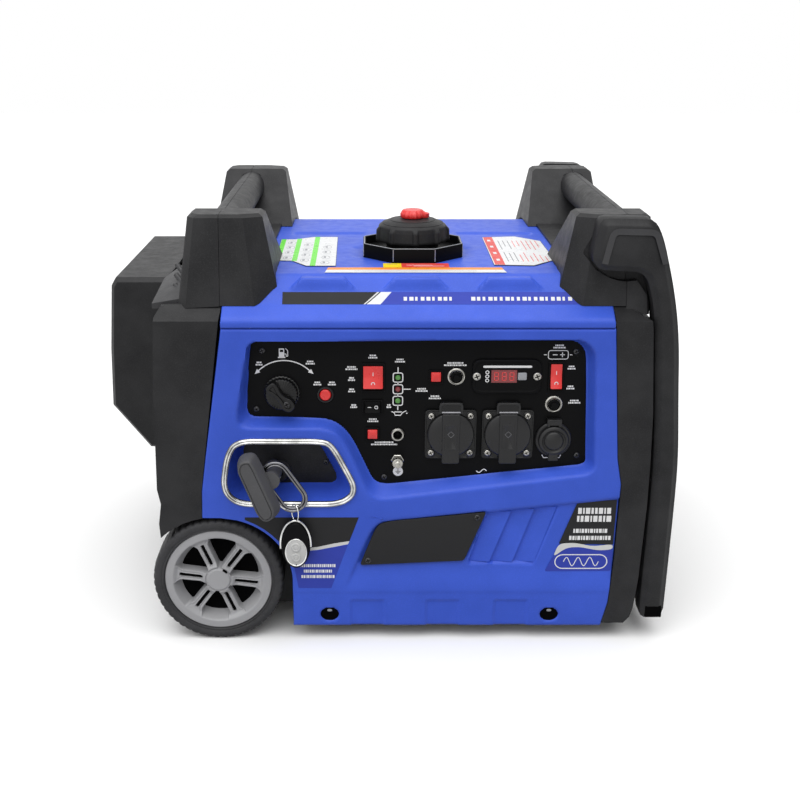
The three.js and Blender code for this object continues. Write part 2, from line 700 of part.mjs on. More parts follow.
function rim() {
  const half = WHEEL_WIDTH / 2;
  const inner = RIM_RADIUS - 6;
  const profile = [
    [0, half - 6], [14, half - 6], [16, half - 10], [inner - 6, half - 10], [inner, half - 3],
    [RIM_RADIUS, half - 3], [RIM_RADIUS, -half + 4], [inner + 2, -half + 4],
    [inner + 2, half - 16], [15, half - 16], [15, -half + 4], [0, -half + 4],
  ];
  const windows = Array.from({ length: 6 }, (_, i) => {
    const turn = (i * Math.PI) / 3;
    const corners = [[19, -0.32], [42, -0.3], [42, 0.3], [19, 0.32]];
    const shape = corners.map(([r, a]) => [r * Math.cos(turn + a), r * Math.sin(turn + a)]);
    return slab("y", shape, -half, half);
  });
  return cut(
    turned("y", [0, 0], profile, 36),
    ...windows,
    rod("y", [0, 0], AXLE_RADIUS + GAP, -half - 5, half - HUB_DEPTH, 16),
  );
}

function addWheel(side, word) {
  const place = [WHEEL_X, side * (FACE - WHEEL_WIDTH / 2), AXLE_Z];
  for (const [name, body, material] of [["tyre", tyre(), rubber], ["rim", rim(), greyPlastic]]) {
    const made = mesh(`${name}_${word}`, body, material);
    made.position.set(...place);
    if (side < 0) {
      made.rotation.z = Math.PI;
    }
    generator.add(made);
  }
}

// ---- Control panel ------------------------------------------------------------------------------
const controls = {
  dial: [-129, 261],
  stop: [-87, 259],
  engine: [-41, 276],
  economy: [-41.5, 246],
  remote: [-41.5, 218.5],
  jack: [-17, 218],
  ground: [-17, 191],
  reset: [19.5, 277],
  breaker: [39, 277],
  meter: [87.5, 277.5],
  battery: [135, 277],
  dcBreaker: [134, 249],
  socket: [34.5, 219],
  dcSocket: [135, 213],
};
const rockerSizes = { engine: [19, 23], economy: [15, 12], battery: [11, 25] };
const buttonRadii = { stop: 5.5, breaker: 5.5, dcBreaker: 5.5 };
const squareButtons = { remote: 9.5, reset: 9.5 };

const holeY = (u, v, radius, sides = 16) => rod("y", [u, v], radius, PLATE_FRONT - 5, PLATE_BACK + 5, sides);
function windowY([u, v], width, height) {
  return box(u - width / 2, u + width / 2, PLATE_FRONT - 5, PLATE_BACK + 5, v - height / 2, v + height / 2);
}

function controlPanel() {
  const edge = grown(controlWindow, 5);
  const plate = slab("y", edge, PLATE_FRONT, PLATE_BACK);
  const holes = [holeY(...controls.dial, 6 + GAP)];
  for (const [name, radius] of Object.entries(buttonRadii)) {
    holes.push(holeY(...controls[name], radius + RUN / 2));
  }
  for (const [name, [width, height]] of Object.entries(rockerSizes)) {
    holes.push(windowY(controls[name], width + RUN, height + 2 * RUN));
  }
  for (const [name, width] of Object.entries(squareButtons)) {
    holes.push(windowY(controls[name], width + RUN, width + RUN));
  }
  const [socketX, socketZ] = controls.socket;
  holes.push(holeY(socketX, socketZ, 20 + GAP, 20));
  holes.push(holeY(socketX + SOCKET_SPACING, socketZ, 20 + GAP, 20));
  holes.push(holeY(...controls.dcSocket, 13 + GAP));
  holes.push(windowY(controls.meter, 60 + 2 * GAP, 28 + 2 * GAP));
  holes.push(holeY(...controls.jack, 4 + GAP));
  holes.push(holeY(...controls.ground, 3 + GAP));
  return cut(plate, ...holes);
}

// A mains socket: square flange on the plate, body behind it and a round plug well.
function mainsSocket(x) {
  const z = controls.socket[1];
  const half = SOCKET_FLANGE / 2;
  const front = PLATE_FRONT - GAP;
  const flange = slab(
    "y",
    outline([[x - half, z - half], [x + half, z - half], [x + half, z + half], [x - half, z + half]], 4),
    front - 3,
    front,
  );
  const hinge = box(x - 11, x + 11, front - 6, front, z + 24, z + 33);
  const body = rod("y", [x, z], 20, front - 1, PLATE_BACK + 28, 20);
  const well = rod("y", [x, z], 17.5, front - 10, front + 14, 20);
  return cut(join(flange, hinge, body), well);
}

// The hinged flap over a socket: a disc, its strap down to the pull and its eye on the hinge.
function socketFlap(x) {
  const z = controls.socket[1];
  const back = PLATE_FRONT - 2 * GAP - 3 - 0.1;
  const disc = rod("y", [x, z], 21.5, back - 5, back, 24);
  const pull = box(x - 7, x + 7, back - 5, back - 1, z - 28, z - 18);
  const arm = box(x - 9, x + 9, back - 5, back, z + 15, z + 22.5);
  return join(disc, pull, arm);
}

function dcSocket() {
  const [x, z] = controls.dcSocket;
  const front = PLATE_FRONT - GAP;
  const flange = rod("y", [x, z], 17, front - 3, front, 20);
  const lug = box(x - 7, x + 7, front - 6, front, z + 16, z + 22);
  const body = rod("y", [x, z], 13, front - 1, PLATE_BACK + 26, 16);
  return cut(join(flange, lug, body), rod("y", [x, z], 10.5, front - 10, front + 18, 16));
}

function dcLid() {
  const [x, z] = controls.dcSocket;
  const back = PLATE_FRONT - 2 * GAP - 3 - 0.1;
  const disc = rod("y", [x, z], 15, back - 5, back, 20);
  const pull = box(x - 5, x + 5, back - 5, back - 1, z - 20, z - 12);
  return join(disc, pull);
}

function fuelDial() {
  const [x, z] = controls.dial;
  const front = PLATE_FRONT - GAP;
  const skirt = rod("y", [x, z], 16.5, front - 7, front, 28);
  const bar = slab(
    "y",
    [[x - 16, z - 9], [x - 9, z - 16], [x + 16, z + 9], [x + 9, z + 16]],
    front - 19,
    front - 6,
  );
  const shaft = rod("y", [x, z], 6, front - 1, PLATE_BACK + 14, 20);
  return join(skirt, common(bar, rod("y", [x, z], 17.3, front - 30, front, 28)), shaft);
}

// A rocker stands at its own pivot, one end pressed in.
const ROCKER_TILT = 8;
function rocker([width, height]) {
  const half = height / 2;
  const side = [[-3.2, -half], [-1.6, 0], [-3.2, half], [4, half - 1.5], [4, -half + 1.5]];
  return slab("x", side, -width / 2, width / 2);
}

function addRocker(name, key) {
  const [x, z] = controls[key];
  const made = mesh(name, rocker(rockerSizes[key]), key === "economy" ? glossBlack : redPlastic);
  made.position.set(x, PLATE_FRONT, z);
  made.rotation.x = THREE.MathUtils.degToRad(-ROCKER_TILT);
  generator.add(made);
}

function roundButton(key, out) {
  const [x, z] = controls[key];
  return rod("y", [x, z], buttonRadii[key], PLATE_FRONT - out, PLATE_BACK + 8, 20);
}

function squareButton(key) {
  const [x, z] = controls[key];
  const half = squareButtons[key] / 2;
  return box(x - half, x + half, PLATE_FRONT - 3, PLATE_BACK + 8, z - half, z + half);
}

function meterModule() {
  const [x, z] = controls.meter;
  const front = PLATE_FRONT - GAP;
  const flange = slab(
    "y",
    outline([[x - 33.5, z - 17.5], [x + 33.5, z - 17.5], [x + 33.5, z + 17.5], [x - 33.5, z + 17.5]], 3),
    front - 3,
    front,
  );
  return join(flange, box(x - 30, x + 30, front - 1, PLATE_BACK + 18, z - 14, z + 14));
}

function commJack() {
  const [x, z] = controls.jack;
  const front = PLATE_FRONT - GAP;
  const nut = rod("y", [x, z], 6.5, front - 3, front, 6);
  const sleeve = rod("y", [x, z], 4, front - 5, PLATE_BACK + 12, 16);
  return cut(join(nut, sleeve), rod("y", [x, z], 2, front - 9, front + 6, 12));
}

function groundStud() {
  const [x, z] = controls.ground;
  const front = PLATE_FRONT - GAP;
  const nuts = join(rod("y", [x, z], 6, front - 3, front, 6), rod("y", [x, z], 7, front - 12, front - 7, 12));
  return join(nuts, rod("y", [x, z], 3, front - 16, PLATE_BACK + 8, 12));
}

// ---- Recoil starter -----------------------------------------------------------------------------
function recoilPlate() {
  const front = -FACE + RECESS_SETBACK + GAP;
  const plate = slab("y", grown(recessFloor, 4), front, front + WALL);
  const guide = rod("y", [ROPE_X, ROPE_Z], 11, front - 9, front + 1, 24);
  const ropeHole = rod("y", [ROPE_X, ROPE_Z], ROPE_RADIUS + 2 * GAP, front - 20, front + 10, 12);
  return cut(join(plate, guide), ropeHole);
}

function recessTrim() {
  const front = -FACE - GAP;
  const ring = slab("y", outline(grown(recessMouth, 5), 13), front - 4, front);
  return cut(ring, slab("y", outline(grown(recessMouth, -1), 10), front - 9, front + 5));
}

const STEM = [ROPE_X - 2, ROPE_Z + 5.2]; // axis of the grip's stem
const STEM_RADIUS = 7.8;

function recoilGrip() {
  const front = -FACE - 29.5;
  const bar = slab(
    "y",
    outline([[-174, 208], [-153, 213], [-132, 152], [-139, 140], [-148, 143]], 9),
    front,
    front + 16,
  );
  const end = -FACE + RECESS_SETBACK - 9.5;
  const stem = rod("y", STEM, STEM_RADIUS, front + 15, end - 12, 16);
  const neck = hull([
    ...circlePoints(...STEM, STEM_RADIUS, end - 13),
    ...circlePoints(ROPE_X, ROPE_Z, 7, end),
  ]);
  return cut(join(bar, stem, neck), rod("y", [ROPE_X, ROPE_Z], ROPE_RADIUS + GAP, end - 8, end + 5, 12));
}

function circlePoints(x, z, radius, y, sides = 16) {
  return Array.from({ length: sides }, (_, i) => {
    const angle = (2 * Math.PI * i) / sides;
    return [x + radius * Math.cos(angle), y, z + radius * Math.sin(angle)];
  });
}

function recoilRope() {
  return rod("y", [ROPE_X, ROPE_Z], ROPE_RADIUS, -FACE + RECESS_SETBACK - 9.5 - 7, 0, 10);
}

function recoilReel() {
  const profile = [
    [AXLE_RADIUS + GAP, -6.5], [REEL_RADIUS + 7, -6.5], [REEL_RADIUS + 7, -4], [REEL_RADIUS, -3.4],
    [REEL_RADIUS, 3.4], [REEL_RADIUS + 7, 4], [REEL_RADIUS + 7, 6.5], [AXLE_RADIUS + GAP, 6.5],
    [AXLE_RADIUS + GAP, -6.5],
  ];
  return turned("x", [0, CRANK_HEIGHT], profile.map(([r, a]) => [r, ROPE_X + a]), 28);
}

const SHROUD_RADIUS = 80;
const BLOCK_LEFT = -85;

function recoilHousing() {
  const end = ROPE_X - 18;
  const profile = [
    [0, end], [SHROUD_RADIUS - 8, end], [SHROUD_RADIUS, end + 8], [SHROUD_RADIUS, BLOCK_LEFT - GAP],
    [SHROUD_RADIUS - WALL, BLOCK_LEFT - GAP], [SHROUD_RADIUS - WALL, end + 9],
    [SHROUD_RADIUS - 9, end + WALL], [AXLE_RADIUS, end + WALL], [AXLE_RADIUS, ROPE_X + 7], [0, ROPE_X + 7],
  ];
  const vents = Array.from({ length: 6 }, (_, i) => {
    const angle = (i * Math.PI) / 3;
    const middle = [52 * Math.cos(angle), CRANK_HEIGHT + 52 * Math.sin(angle)];
    return rod("x", middle, 13, end - 2, end + 5, 10);
  });
  const ropeWay = box(ROPE_X - 6, ROPE_X + 6, -SHROUD_RADIUS - 2, -45, ROPE_Z - 6, ROPE_Z + 6);
  return cut(turned("x", [0, CRANK_HEIGHT], profile, 28), ropeWay, ...vents);
}

// ---- Engine, alternator, exhaust ----------------------------------------------------------------
const BLOCK_RIGHT = 15;
const CRADLE_TOP = 36;
const EXHAUST_Y = 60;
const EXHAUST_Z = 205;
const MUFFLER_RIGHT = RIGHT - 8;

function engineBlock() {
  const half = 74;
  const section = [[-half, -52], [-52, -half], [52, -half], [half, -52]];
  const lower = section.map(([y, z]) => [y, CRANK_HEIGHT + z]);
  const upper = section.map(([y, z]) => [-y, CRANK_HEIGHT - z]);
  const crankcase = slab("x", [...lower, ...upper], BLOCK_LEFT, BLOCK_RIGHT);
  const sump = box(BLOCK_LEFT + 8, BLOCK_RIGHT - 8, -60, 60, CRADLE_TOP + GAP, CRANK_HEIGHT - 50);
  const barrel = box(-66, -4, -40, 40, CRANK_HEIGHT + half - 5, 262);
  const fins = Array.from({ length: 6 }, (_, i) => box(-74, 4, -48, 48, 207 + 9 * i, 210 + 9 * i));
  return cut(
    join(crankcase, sump, barrel, ...fins),
    rod("x", [0, CRANK_HEIGHT], CRANK_RADIUS + GAP, BLOCK_LEFT - 5, BLOCK_RIGHT + 5, 24),
  );
}

function engineCradle() {
  const plate = box(BLOCK_LEFT - 10, 95, -80, 80, CRADLE_TOP - 6, CRADLE_TOP);
  const mounts = [[-75, -60], [-75, 60], [75, -60], [75, 60]].map(([x, y]) => {
    return rod("z", [x, y], 13, FLOOR_TOP + GAP, CRADLE_TOP - 5, 16);
  });
  return join(plate, ...mounts);
}

const ROTOR_RADIUS = 61;

function alternatorStator() {
  const left = BLOCK_RIGHT + GAP;
  const profile = [
    [ROTOR_RADIUS + RUN, left], [SHROUD_RADIUS, left], [SHROUD_RADIUS, left + 6],
    [SHROUD_RADIUS - 5, left + 10], [SHROUD_RADIUS - 5, 78], [ROTOR_RADIUS + RUN, 78],
    [ROTOR_RADIUS + RUN, left],
  ];
  return turned("x", [0, CRANK_HEIGHT], profile, 28);
}

// Crankshaft with the flywheel fan at its left end and the magnet rotor at its right end.
function crankRotor() {
  const fanLeft = ROPE_X + 8;
  const profile = [
    [0, fanLeft], [CRANK_RADIUS, fanLeft], [58, fanLeft + 20], [70, fanLeft + 20], [70, BLOCK_LEFT - 6],
    [CRANK_RADIUS, BLOCK_LEFT - 6], [CRANK_RADIUS, BLOCK_RIGHT + 4], [ROTOR_RADIUS, BLOCK_RIGHT + 4],
    [ROTOR_RADIUS, 76], [ROTOR_RADIUS - 12, 76], [ROTOR_RADIUS - 12, BLOCK_RIGHT + 14],
    [CRANK_RADIUS - 3, BLOCK_RIGHT + 14], [CRANK_RADIUS - 3, 70], [0, 70],
  ];
  const scoops = Array.from({ length: 6 }, (_, i) => {
    const angle = (i * Math.PI) / 3;
    const middle = [46 * Math.cos(angle), CRANK_HEIGHT + 46 * Math.sin(angle)];
    return rod("x", middle, 7, fanLeft - 5, fanLeft + 60, 8);
  });
  return cut(turned("x", [0, CRANK_HEIGHT], profile, 28), ...scoops);
}

function muffler() {
  const left = 92;
  const can = slab("x", outline([[-70, 62], [95, 62], [95, 236], [-70, 236]], 30), left, MUFFLER_RIGHT);
  const outlet = rod("x", [EXHAUST_Y, EXHAUST_Z], 17, MUFFLER_RIGHT - 5, capRight - 4, 20);
  const pipe = join(
    rod("x", [0, 227], 11, 4 + GAP, left + 5, 16),
    box(4 + GAP, 9, -20, 20, 212, 242),
  );
  const inside = outline([[-67, 65], [92, 65], [92, 233], [-67, 233]], 28);
  const chamber = slab("x", inside, left + 3, MUFFLER_RIGHT - 3);
  const outletBore = rod("x", [EXHAUST_Y, EXHAUST_Z], 12, MUFFLER_RIGHT - 8, capRight + 5, 20);
  const feet = box(left + 10, MUFFLER_RIGHT - 10, -50, -38, FLOOR_TOP + GAP, 70);
  const otherFeet = box(left + 10, MUFFLER_RIGHT - 10, 60, 72, FLOOR_TOP + GAP, 70);
  return cut(join(cut(join(can, feet, otherFeet), chamber), outlet, pipe), outletBore);
}

function carburettor() {
  const body = box(-58, -18, 48 + GAP, 92, 208, 246);
  return join(body, rod("y", [-38, 227], 15, 90, 104, 20));
}

function airFilter() {
  return slab("y", outline([[-84, 190], [8, 190], [8, 262], [-84, 262]], 10), 104 + GAP, 160);
}

function fuelTank() {
  const top = CASE_TOP - WALL - 2 * GAP;
  const left = -128;
  const low = top - TANK_HEIGHT;
  const blow = (inset) => hull([-1, 1].flatMap((side) => [
    [left + inset, side * (128 - inset), low + 14], [left + 14, side * (118 - inset), low + inset],
    [118, side * (118 - inset), low + inset], [132 - inset, side * (128 - inset), low + 14],
    [left + inset, side * (128 - inset), top - 26], [132 - inset, side * (128 - inset), top - 26],
    [left + 10, side * (100 - inset), top - inset], [122, side * (100 - inset), top - inset],
  ]));
  const neck = rod("z", [0, FILLER_Y], NECK_RADIUS, top - 5, CASE_TOP + 13, 32);
  const mouth = rod("z", [0, FILLER_Y], NECK_RADIUS - 3, top - 12, CASE_TOP + 30, 32);
  return cut(join(cut(blow(0), blow(WALL)), neck), mouth);
}

function inverterUnit() {
  const front = -(FACE - WALL - 5);
  const body = box(-50, RIGHT - 18, front, front + 40, FLOOR_TOP + GAP, 140);
  const grooves = Array.from({ length: 10 }, (_, i) => {
    const z = 32 + 11 * i;
    return box(-60, RIGHT, front + 36, front + 50, z, z + 5);
  });
  return cut(body, ...grooves);
}

function battery() {
  const back = FACE - WALL - 8;
  const body = box(-100, -20, back - 65, back, FLOOR_TOP + GAP, 108);
  const posts = [-90, -30].map((x) => rod("z", [x, back - 12], 5, 107, 114, 12));
  return join(body, ...posts);
}

// ---- Filler, cap, name plate, key ---------------------------------------------------------------
function octagon(half, corner) {
  return [
    [-half, -corner], [-corner, -half], [corner, -half], [half, -corner],
    [half, corner], [corner, half], [-corner, half], [-half, corner],
  ];
}

function fillerCollar() {
  const ring = (half, corner, z) => octagon(half, corner).map(([x, y]) => [x, FILLER_Y + y, z]);
  const body = hull([
    ...ring(51, 28, CASE_TOP + GAP), ...ring(51, 28, CASE_TOP + 4), ...ring(45, 25, CASE_TOP + 12),
  ]);
  return cut(body, rod("z", [0, FILLER_Y], NECK_RADIUS + GAP, 300, 420, 32));
}

const CAP_FOOT = CASE_TOP + 12 + GAP;

function fuelCap() {
  const profile = [
    [NECK_RADIUS + RUN, CAP_FOOT], [39.5, CAP_FOOT], [39.5, CAP_FOOT + 8], [37, CAP_FOOT + 12],
    [30, CAP_FOOT + 15], [22, CAP_FOOT + 23], [0, CAP_FOOT + 23],
    [0, CAP_FOOT + 5], [NECK_RADIUS + RUN, CAP_FOOT + 5], [NECK_RADIUS + RUN, CAP_FOOT],
  ];
  const body = turned("z", [0, FILLER_Y], profile, 36);
  const flutes = Array.from({ length: 9 }, (_, i) => {
    const angle = (2 * Math.PI * (i + 0.5)) / 9;
    const middle = [48 * Math.cos(angle), FILLER_Y + 48 * Math.sin(angle)];
    return rod("z", middle, 11.5, CAP_FOOT + 2, CAP_FOOT + 20, 12);
  });
  return cut(body, ...flutes);
}

function ventKnob() {
  const foot0 = CAP_FOOT + 23 + GAP;
  const knob = rod("z", [0, FILLER_Y], 12.5, foot0, foot0 + 8, 24, 10.5);
  const lever = box(4, 17, FILLER_Y - 4, FILLER_Y + 4, foot0, foot0 + 5);
  return join(knob, lever);
}

function namePlate() {
  const front = -FACE - GAP;
  const shape = outline([[-55, 83], [50, 88], [71, 141], [-30, 130], [-38, 125]], 5);
  return slab("y", shape, front - 1.7, front);
}

const LOOP_Y = -FACE - 9;

// A flat wire ring of two half circles joined by straight sides, leaning from the grip's stem.
function stadium(from, to, radius) {
  const along = new THREE.Vector2(to[0] - from[0], to[1] - from[1]).angle();
  const points = [];
  for (const [[x, z], start] of [[to, along - Math.PI / 2], [from, along + Math.PI / 2]]) {
    for (let i = 0; i <= 8; i += 1) {
      const angle = start + (Math.PI * i) / 8;
      points.push([x + radius * Math.cos(angle), z + radius * Math.sin(angle)]);
    }
  }
  return points;
}

const LOOP_TOP = [-133.5, 179];
const LOOP_FOOT = [-119.5, 160];
const LOOP_RADIUS = 13.6; // middle of the wire
const WIRE = 2.8;
const EYE_RADIUS = 3.1; // hole of the fob's eye

function keyLoop() {
  const half = WIRE / 2;
  const outer = slab("y", stadium(LOOP_TOP, LOOP_FOOT, LOOP_RADIUS + half), LOOP_Y - half, LOOP_Y + half);
  return cut(outer, slab("y", stadium(LOOP_TOP, LOOP_FOOT, LOOP_RADIUS - half), LOOP_Y - 5, LOOP_Y + 5));
}

// An oval fob under a thin eye that hangs on the lowest stretch of the loop's wire.
function remoteFob() {
  const x = LOOP_FOOT[0];
  const wireTop = LOOP_FOOT[1] - LOOP_RADIUS + WIRE / 2;
  const middle = wireTop - 37;
  const shape = new THREE.Shape().absellipse(x, middle, 17, 26.5, 0, 2 * Math.PI);
  const body = slab("y", shape, LOOP_Y - 4, LOOP_Y + 4);
  const crown = wireTop + RUN - EYE_RADIUS;
  const eye = cut(
    slab("x", stadium([LOOP_Y, middle + 20], [LOOP_Y, crown], EYE_RADIUS + 1.4), x - 0.9, x + 0.9),
    slab("x", stadium([LOOP_Y, crown - 4], [LOOP_Y, crown], EYE_RADIUS), x - 4, x + 4),
  );
  return join(body, eye);
}

// ---- Assembly -----------------------------------------------------------------------------------
add("base_tray", baseTray(), blackPlastic);
add("front_panel", frontPanel(), bluePlastic);
add("rear_panel", rearPanel(), bluePlastic);
add("maintenance_door", maintenanceDoor(), bluePlastic);
add("top_cover", topCover(), bluePlastic);
add("left_end_cap", leftEndCap(), blackPlastic);
add("right_end_cap", rightEndCap(), blackPlastic);
add("intake_cover", intakeCover(), blackPlastic);
add("left_handle_shell", leftHandleShell(), blackPlastic);
add("right_handle_shell", rightHandleShell(), blackPlastic);
add("trolley_handle", trolleyHandle(), blackPlastic);
add("trolley_pivot_rod", trolleyPivotRod(), steel);
add("foot_front", foot(-1), rubber);
add("foot_rear", foot(1), rubber);
add("axle", axle(), steel);
addWheel(-1, "front");
addWheel(1, "rear");

add("control_panel", controlPanel(), glossBlack);
add("socket_left", mainsSocket(controls.socket[0]), blackPlastic);
add("socket_right", mainsSocket(controls.socket[0] + SOCKET_SPACING), blackPlastic);
add("flap_left", socketFlap(controls.socket[0]), blackPlastic);
add("flap_right", socketFlap(controls.socket[0] + SOCKET_SPACING), blackPlastic);
add("dc_socket", dcSocket(), blackPlastic);
add("dc_lid", dcLid(), blackPlastic);
add("fuel_dial", fuelDial(), blackPlastic);
addRocker("engine_rocker", "engine");
addRocker("economy_rocker", "economy");
addRocker("battery_rocker", "battery");
add("stop_button", roundButton("stop", 4), redPlastic);
add("ac_breaker_button", roundButton("breaker", 7), glossBlack);
add("dc_breaker_button", roundButton("dcBreaker", 7), glossBlack);
add("remote_button", squareButton("remote"), redPlastic);
add("reset_button", squareButton("reset"), redPlastic);
add("meter_module", meterModule(), glossBlack);
add("comm_jack", commJack(), chrome);
add("ground_stud", groundStud(), steel);
add("name_plate", namePlate(), glossBlack);

add("recoil_plate", recoilPlate(), blackPlastic);
add("recess_trim", recessTrim(), chrome);
add("recoil_grip", recoilGrip(), rubber);
add("recoil_rope", recoilRope(), ropeWhite);
add("recoil_reel", recoilReel(), blackPlastic);
add("recoil_housing", recoilHousing(), blackSteel);
add("key_loop", keyLoop(), chrome);
add("remote_fob", remoteFob(), glossBlack);

add("engine_block", engineBlock(), castAluminium);
add("engine_cradle", engineCradle(), blackSteel);
add("alternator_stator", alternatorStator(), copperGrey);
add("crank_rotor", crankRotor(), steel);
add("muffler", muffler(), steel);
add("carburettor", carburettor(), castAluminium);
add("air_filter", airFilter(), blackPlastic);
add("fuel_tank", fuelTank(), blackPlastic);
add("inverter_unit", inverterUnit(), castAluminium);
add("battery", battery(), blackPlastic);

add("filler_collar", fillerCollar(), blackPlastic);
add("fuel_cap", fuelCap(), blackPlastic);
add("vent_knob", ventKnob(), redPlastic);

// The origin is the middle of the footprint, on the ground.
const extent = new THREE.Box3().setFromObject(generator);
generator.position.set(-(extent.min.x + extent.max.x) / 2, -(extent.min.y + extent.max.y) / 2, 0);

export default generator;
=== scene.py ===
"""Looks of a wheeled inverter generator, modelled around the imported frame.

Lengths in this file are millimetres from the middle of the casing: X along the casing with the
wheels at -X, -Y the control side, Z up from the ground. ORIGIN turns them into the frame's metres.
"""

import math

import bmesh
import bpy
import numpy as np
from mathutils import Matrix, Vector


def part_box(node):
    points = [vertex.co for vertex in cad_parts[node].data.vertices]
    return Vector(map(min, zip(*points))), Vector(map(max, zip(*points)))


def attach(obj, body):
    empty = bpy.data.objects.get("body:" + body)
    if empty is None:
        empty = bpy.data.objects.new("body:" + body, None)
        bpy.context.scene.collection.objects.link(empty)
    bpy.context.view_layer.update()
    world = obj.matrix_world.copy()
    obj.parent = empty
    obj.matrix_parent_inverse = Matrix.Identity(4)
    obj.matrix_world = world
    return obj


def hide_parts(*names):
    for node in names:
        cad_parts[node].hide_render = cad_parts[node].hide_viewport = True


bl_info = {
    "name": "Inverter Generator Looks",
    "version": (1, 0, 0),
    "blender": (4, 5, 0),
    "location": "3D View > Sidebar > Generator",
    "description": "Builds the casing, wheels, controls and stage of a wheeled inverter generator",
    "category": "Add Mesh",
}

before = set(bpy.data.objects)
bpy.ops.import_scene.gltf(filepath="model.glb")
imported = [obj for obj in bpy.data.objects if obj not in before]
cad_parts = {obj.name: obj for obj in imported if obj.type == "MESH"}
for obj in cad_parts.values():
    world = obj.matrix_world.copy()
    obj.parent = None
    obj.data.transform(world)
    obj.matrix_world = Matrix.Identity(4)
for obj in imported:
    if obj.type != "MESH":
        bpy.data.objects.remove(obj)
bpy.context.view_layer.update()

# ---- The frame's planes, in millimetres
_front = np.array(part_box("front_panel")) * 1000
_rear = np.array(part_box("rear_panel")) * 1000
_collar = np.array(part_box("filler_collar")) * 1000
ORIGIN = np.array([_collar[:, 0].mean(), (_front[0, 1] + _rear[1, 1]) / 2, 0.0])


def box_of(node):
    """Lowest and highest corner of a CAD node, in this file's millimetres."""
    return np.array(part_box(node)) * 1000 - ORIGIN


def middle_of(node):
    return box_of(node).mean(axis=0)


def faced(node):
    """Middle x and z of a CAD node, and the y of its front and its back."""
    low, high = box_of(node)
    return (low[0] + high[0]) / 2, (low[2] + high[2]) / 2, low[1], high[1]


FACE = -box_of("front_panel")[0, 1]
LEFT, RIGHT = box_of("top_cover")[:, 0]
TOP = box_of("top_cover")[1, 2]
SEAM = box_of("top_cover")[0, 2]
BOTTOM = box_of("front_panel")[0, 2] - 3.6
WHEEL_MIDDLE = middle_of("rim_front")
WHEEL_REAR = middle_of("rim_rear")
TYRE_RADIUS = np.ptp(box_of("tyre_front")[:, 2]) / 2
RIM_RADIUS = np.ptp(box_of("rim_front")[:, 2]) / 2
TYRE_WIDTH = np.ptp(box_of("tyre_front")[:, 1])
PLATE = box_of("control_panel")[0, 1]
ON_PLATE = PLATE - 0.3
RECESS_PLATE = box_of("recoil_plate")[1, 1] - 3
DIAL = middle_of("fuel_dial")
SOCKETS = [middle_of("socket_left")[0], middle_of("socket_right")[0]]
SOCKET_Z = box_of("socket_left")[0, 2] + 25
DC_X = middle_of("dc_socket")[0]
DC_Z = box_of("dc_socket")[0, 2] + 17
METER = middle_of("meter_module")
FILLER = middle_of("filler_collar")
COLLAR_TOP = box_of("filler_collar")[1, 2]
CAP = box_of("fuel_cap")
KNOB = box_of("vent_knob")
GRIP = box_of("recoil_grip")
FOB = box_of("remote_fob")
LOOP = box_of("key_loop")
ROPE = middle_of("recoil_rope")
TANK_REAR = box_of("fuel_tank")[1, 1]
INK = 0.14
SIDES = ((-1, "front"), (1, "rear"))
ARCH_RISE = 69.5
ARCH_REACH = 75.0
ARCH_TOP = WHEEL_MIDDLE[2] + ARCH_RISE


# ---- Numbers and surfaces
def unit(vectors):
    """Vectors scaled to length one."""
    return vectors / np.maximum(np.linalg.norm(vectors, axis=-1, keepdims=True), 1e-9)


def smooth_step(value, low, high):
    """0 below low, 1 above high, and 3t^2 - 2t^3 between them."""
    t = np.clip((value - low) / (high - low), 0, 1)
    return t * t * (3 - 2 * t)


def filleted(t, share=0.25):
    """A straight ramp from 0 to 1 whose two ends are parabolas, each over a share of its length."""
    t = np.clip(t, 0, 1)
    scale = 2 * share * (1 - share)
    middle = (t - share / 2) / (1 - share)
    return np.where(t < share, t * t / scale, np.where(t > 1 - share, 1 - (1 - t) ** 2 / scale, middle))


def soft_min(a, b, reach):
    """The smaller of two heights, blended by a parabola where they differ by less than reach."""
    h = np.clip(0.5 + 0.5 * (b - a) / reach, 0, 1)
    return b + (a - b) * h - reach * h * (1 - h)


def soft_max(a, b, reach):
    """The larger of two heights, blended in the same way."""
    return -soft_min(-a, -b, reach)


def rounded(points, radius, steps=6):
    """A closed outline whose corners are parabolas that start one radius before each corner."""
    corners = np.array(points, float)
    before = np.roll(corners, 1, axis=0)
    after = np.roll(corners, -1, axis=0)
    radius = np.broadcast_to(radius, len(corners)).astype(float)
    reach_in = np.minimum(radius, 0.48 * np.linalg.norm(before - corners, axis=1))
    reach_out = np.minimum(radius, 0.48 * np.linalg.norm(after - corners, axis=1))
    start = corners + unit(before - corners) * reach_in[:, None]
    end = corners + unit(after - corners) * reach_out[:, None]
    t = np.linspace(0, 1, steps + 1)[None, :, None]
    curve = (1 - t) ** 2 * start[:, None] + 2 * t * (1 - t) * corners[:, None] + t * t * end[:, None]
    return curve.reshape(-1, 2)


def rounded_open(points, radius):
    """An open line with its inner corners rounded."""
    radius = np.broadcast_to(radius, len(points) - 2)
    return rounded(points, [1e-3, *radius, 1e-3])[6:-6]


def oval(x, z, half_x, half_z, count=40):
    """An ellipse about (x, z)."""
    a = np.linspace(0, 2 * math.pi, count, endpoint=False)
    return np.stack([x + half_x * np.cos(a), z + half_z * np.sin(a)], axis=1)


def bar_outline(start, end, half, steps=8):
    """A straight bar with round ends: a half circle about each end, joined by straight sides."""
    start, end = np.array(start, float), np.array(end, float)
    turn = math.atan2(*(end - start)[::-1])
    a = np.linspace(-math.pi / 2, math.pi / 2, steps + 1)
    cap = np.stack([np.cos(a + turn), np.sin(a + turn)], axis=1) * half
    return np.concatenate([end + cap, start - cap])


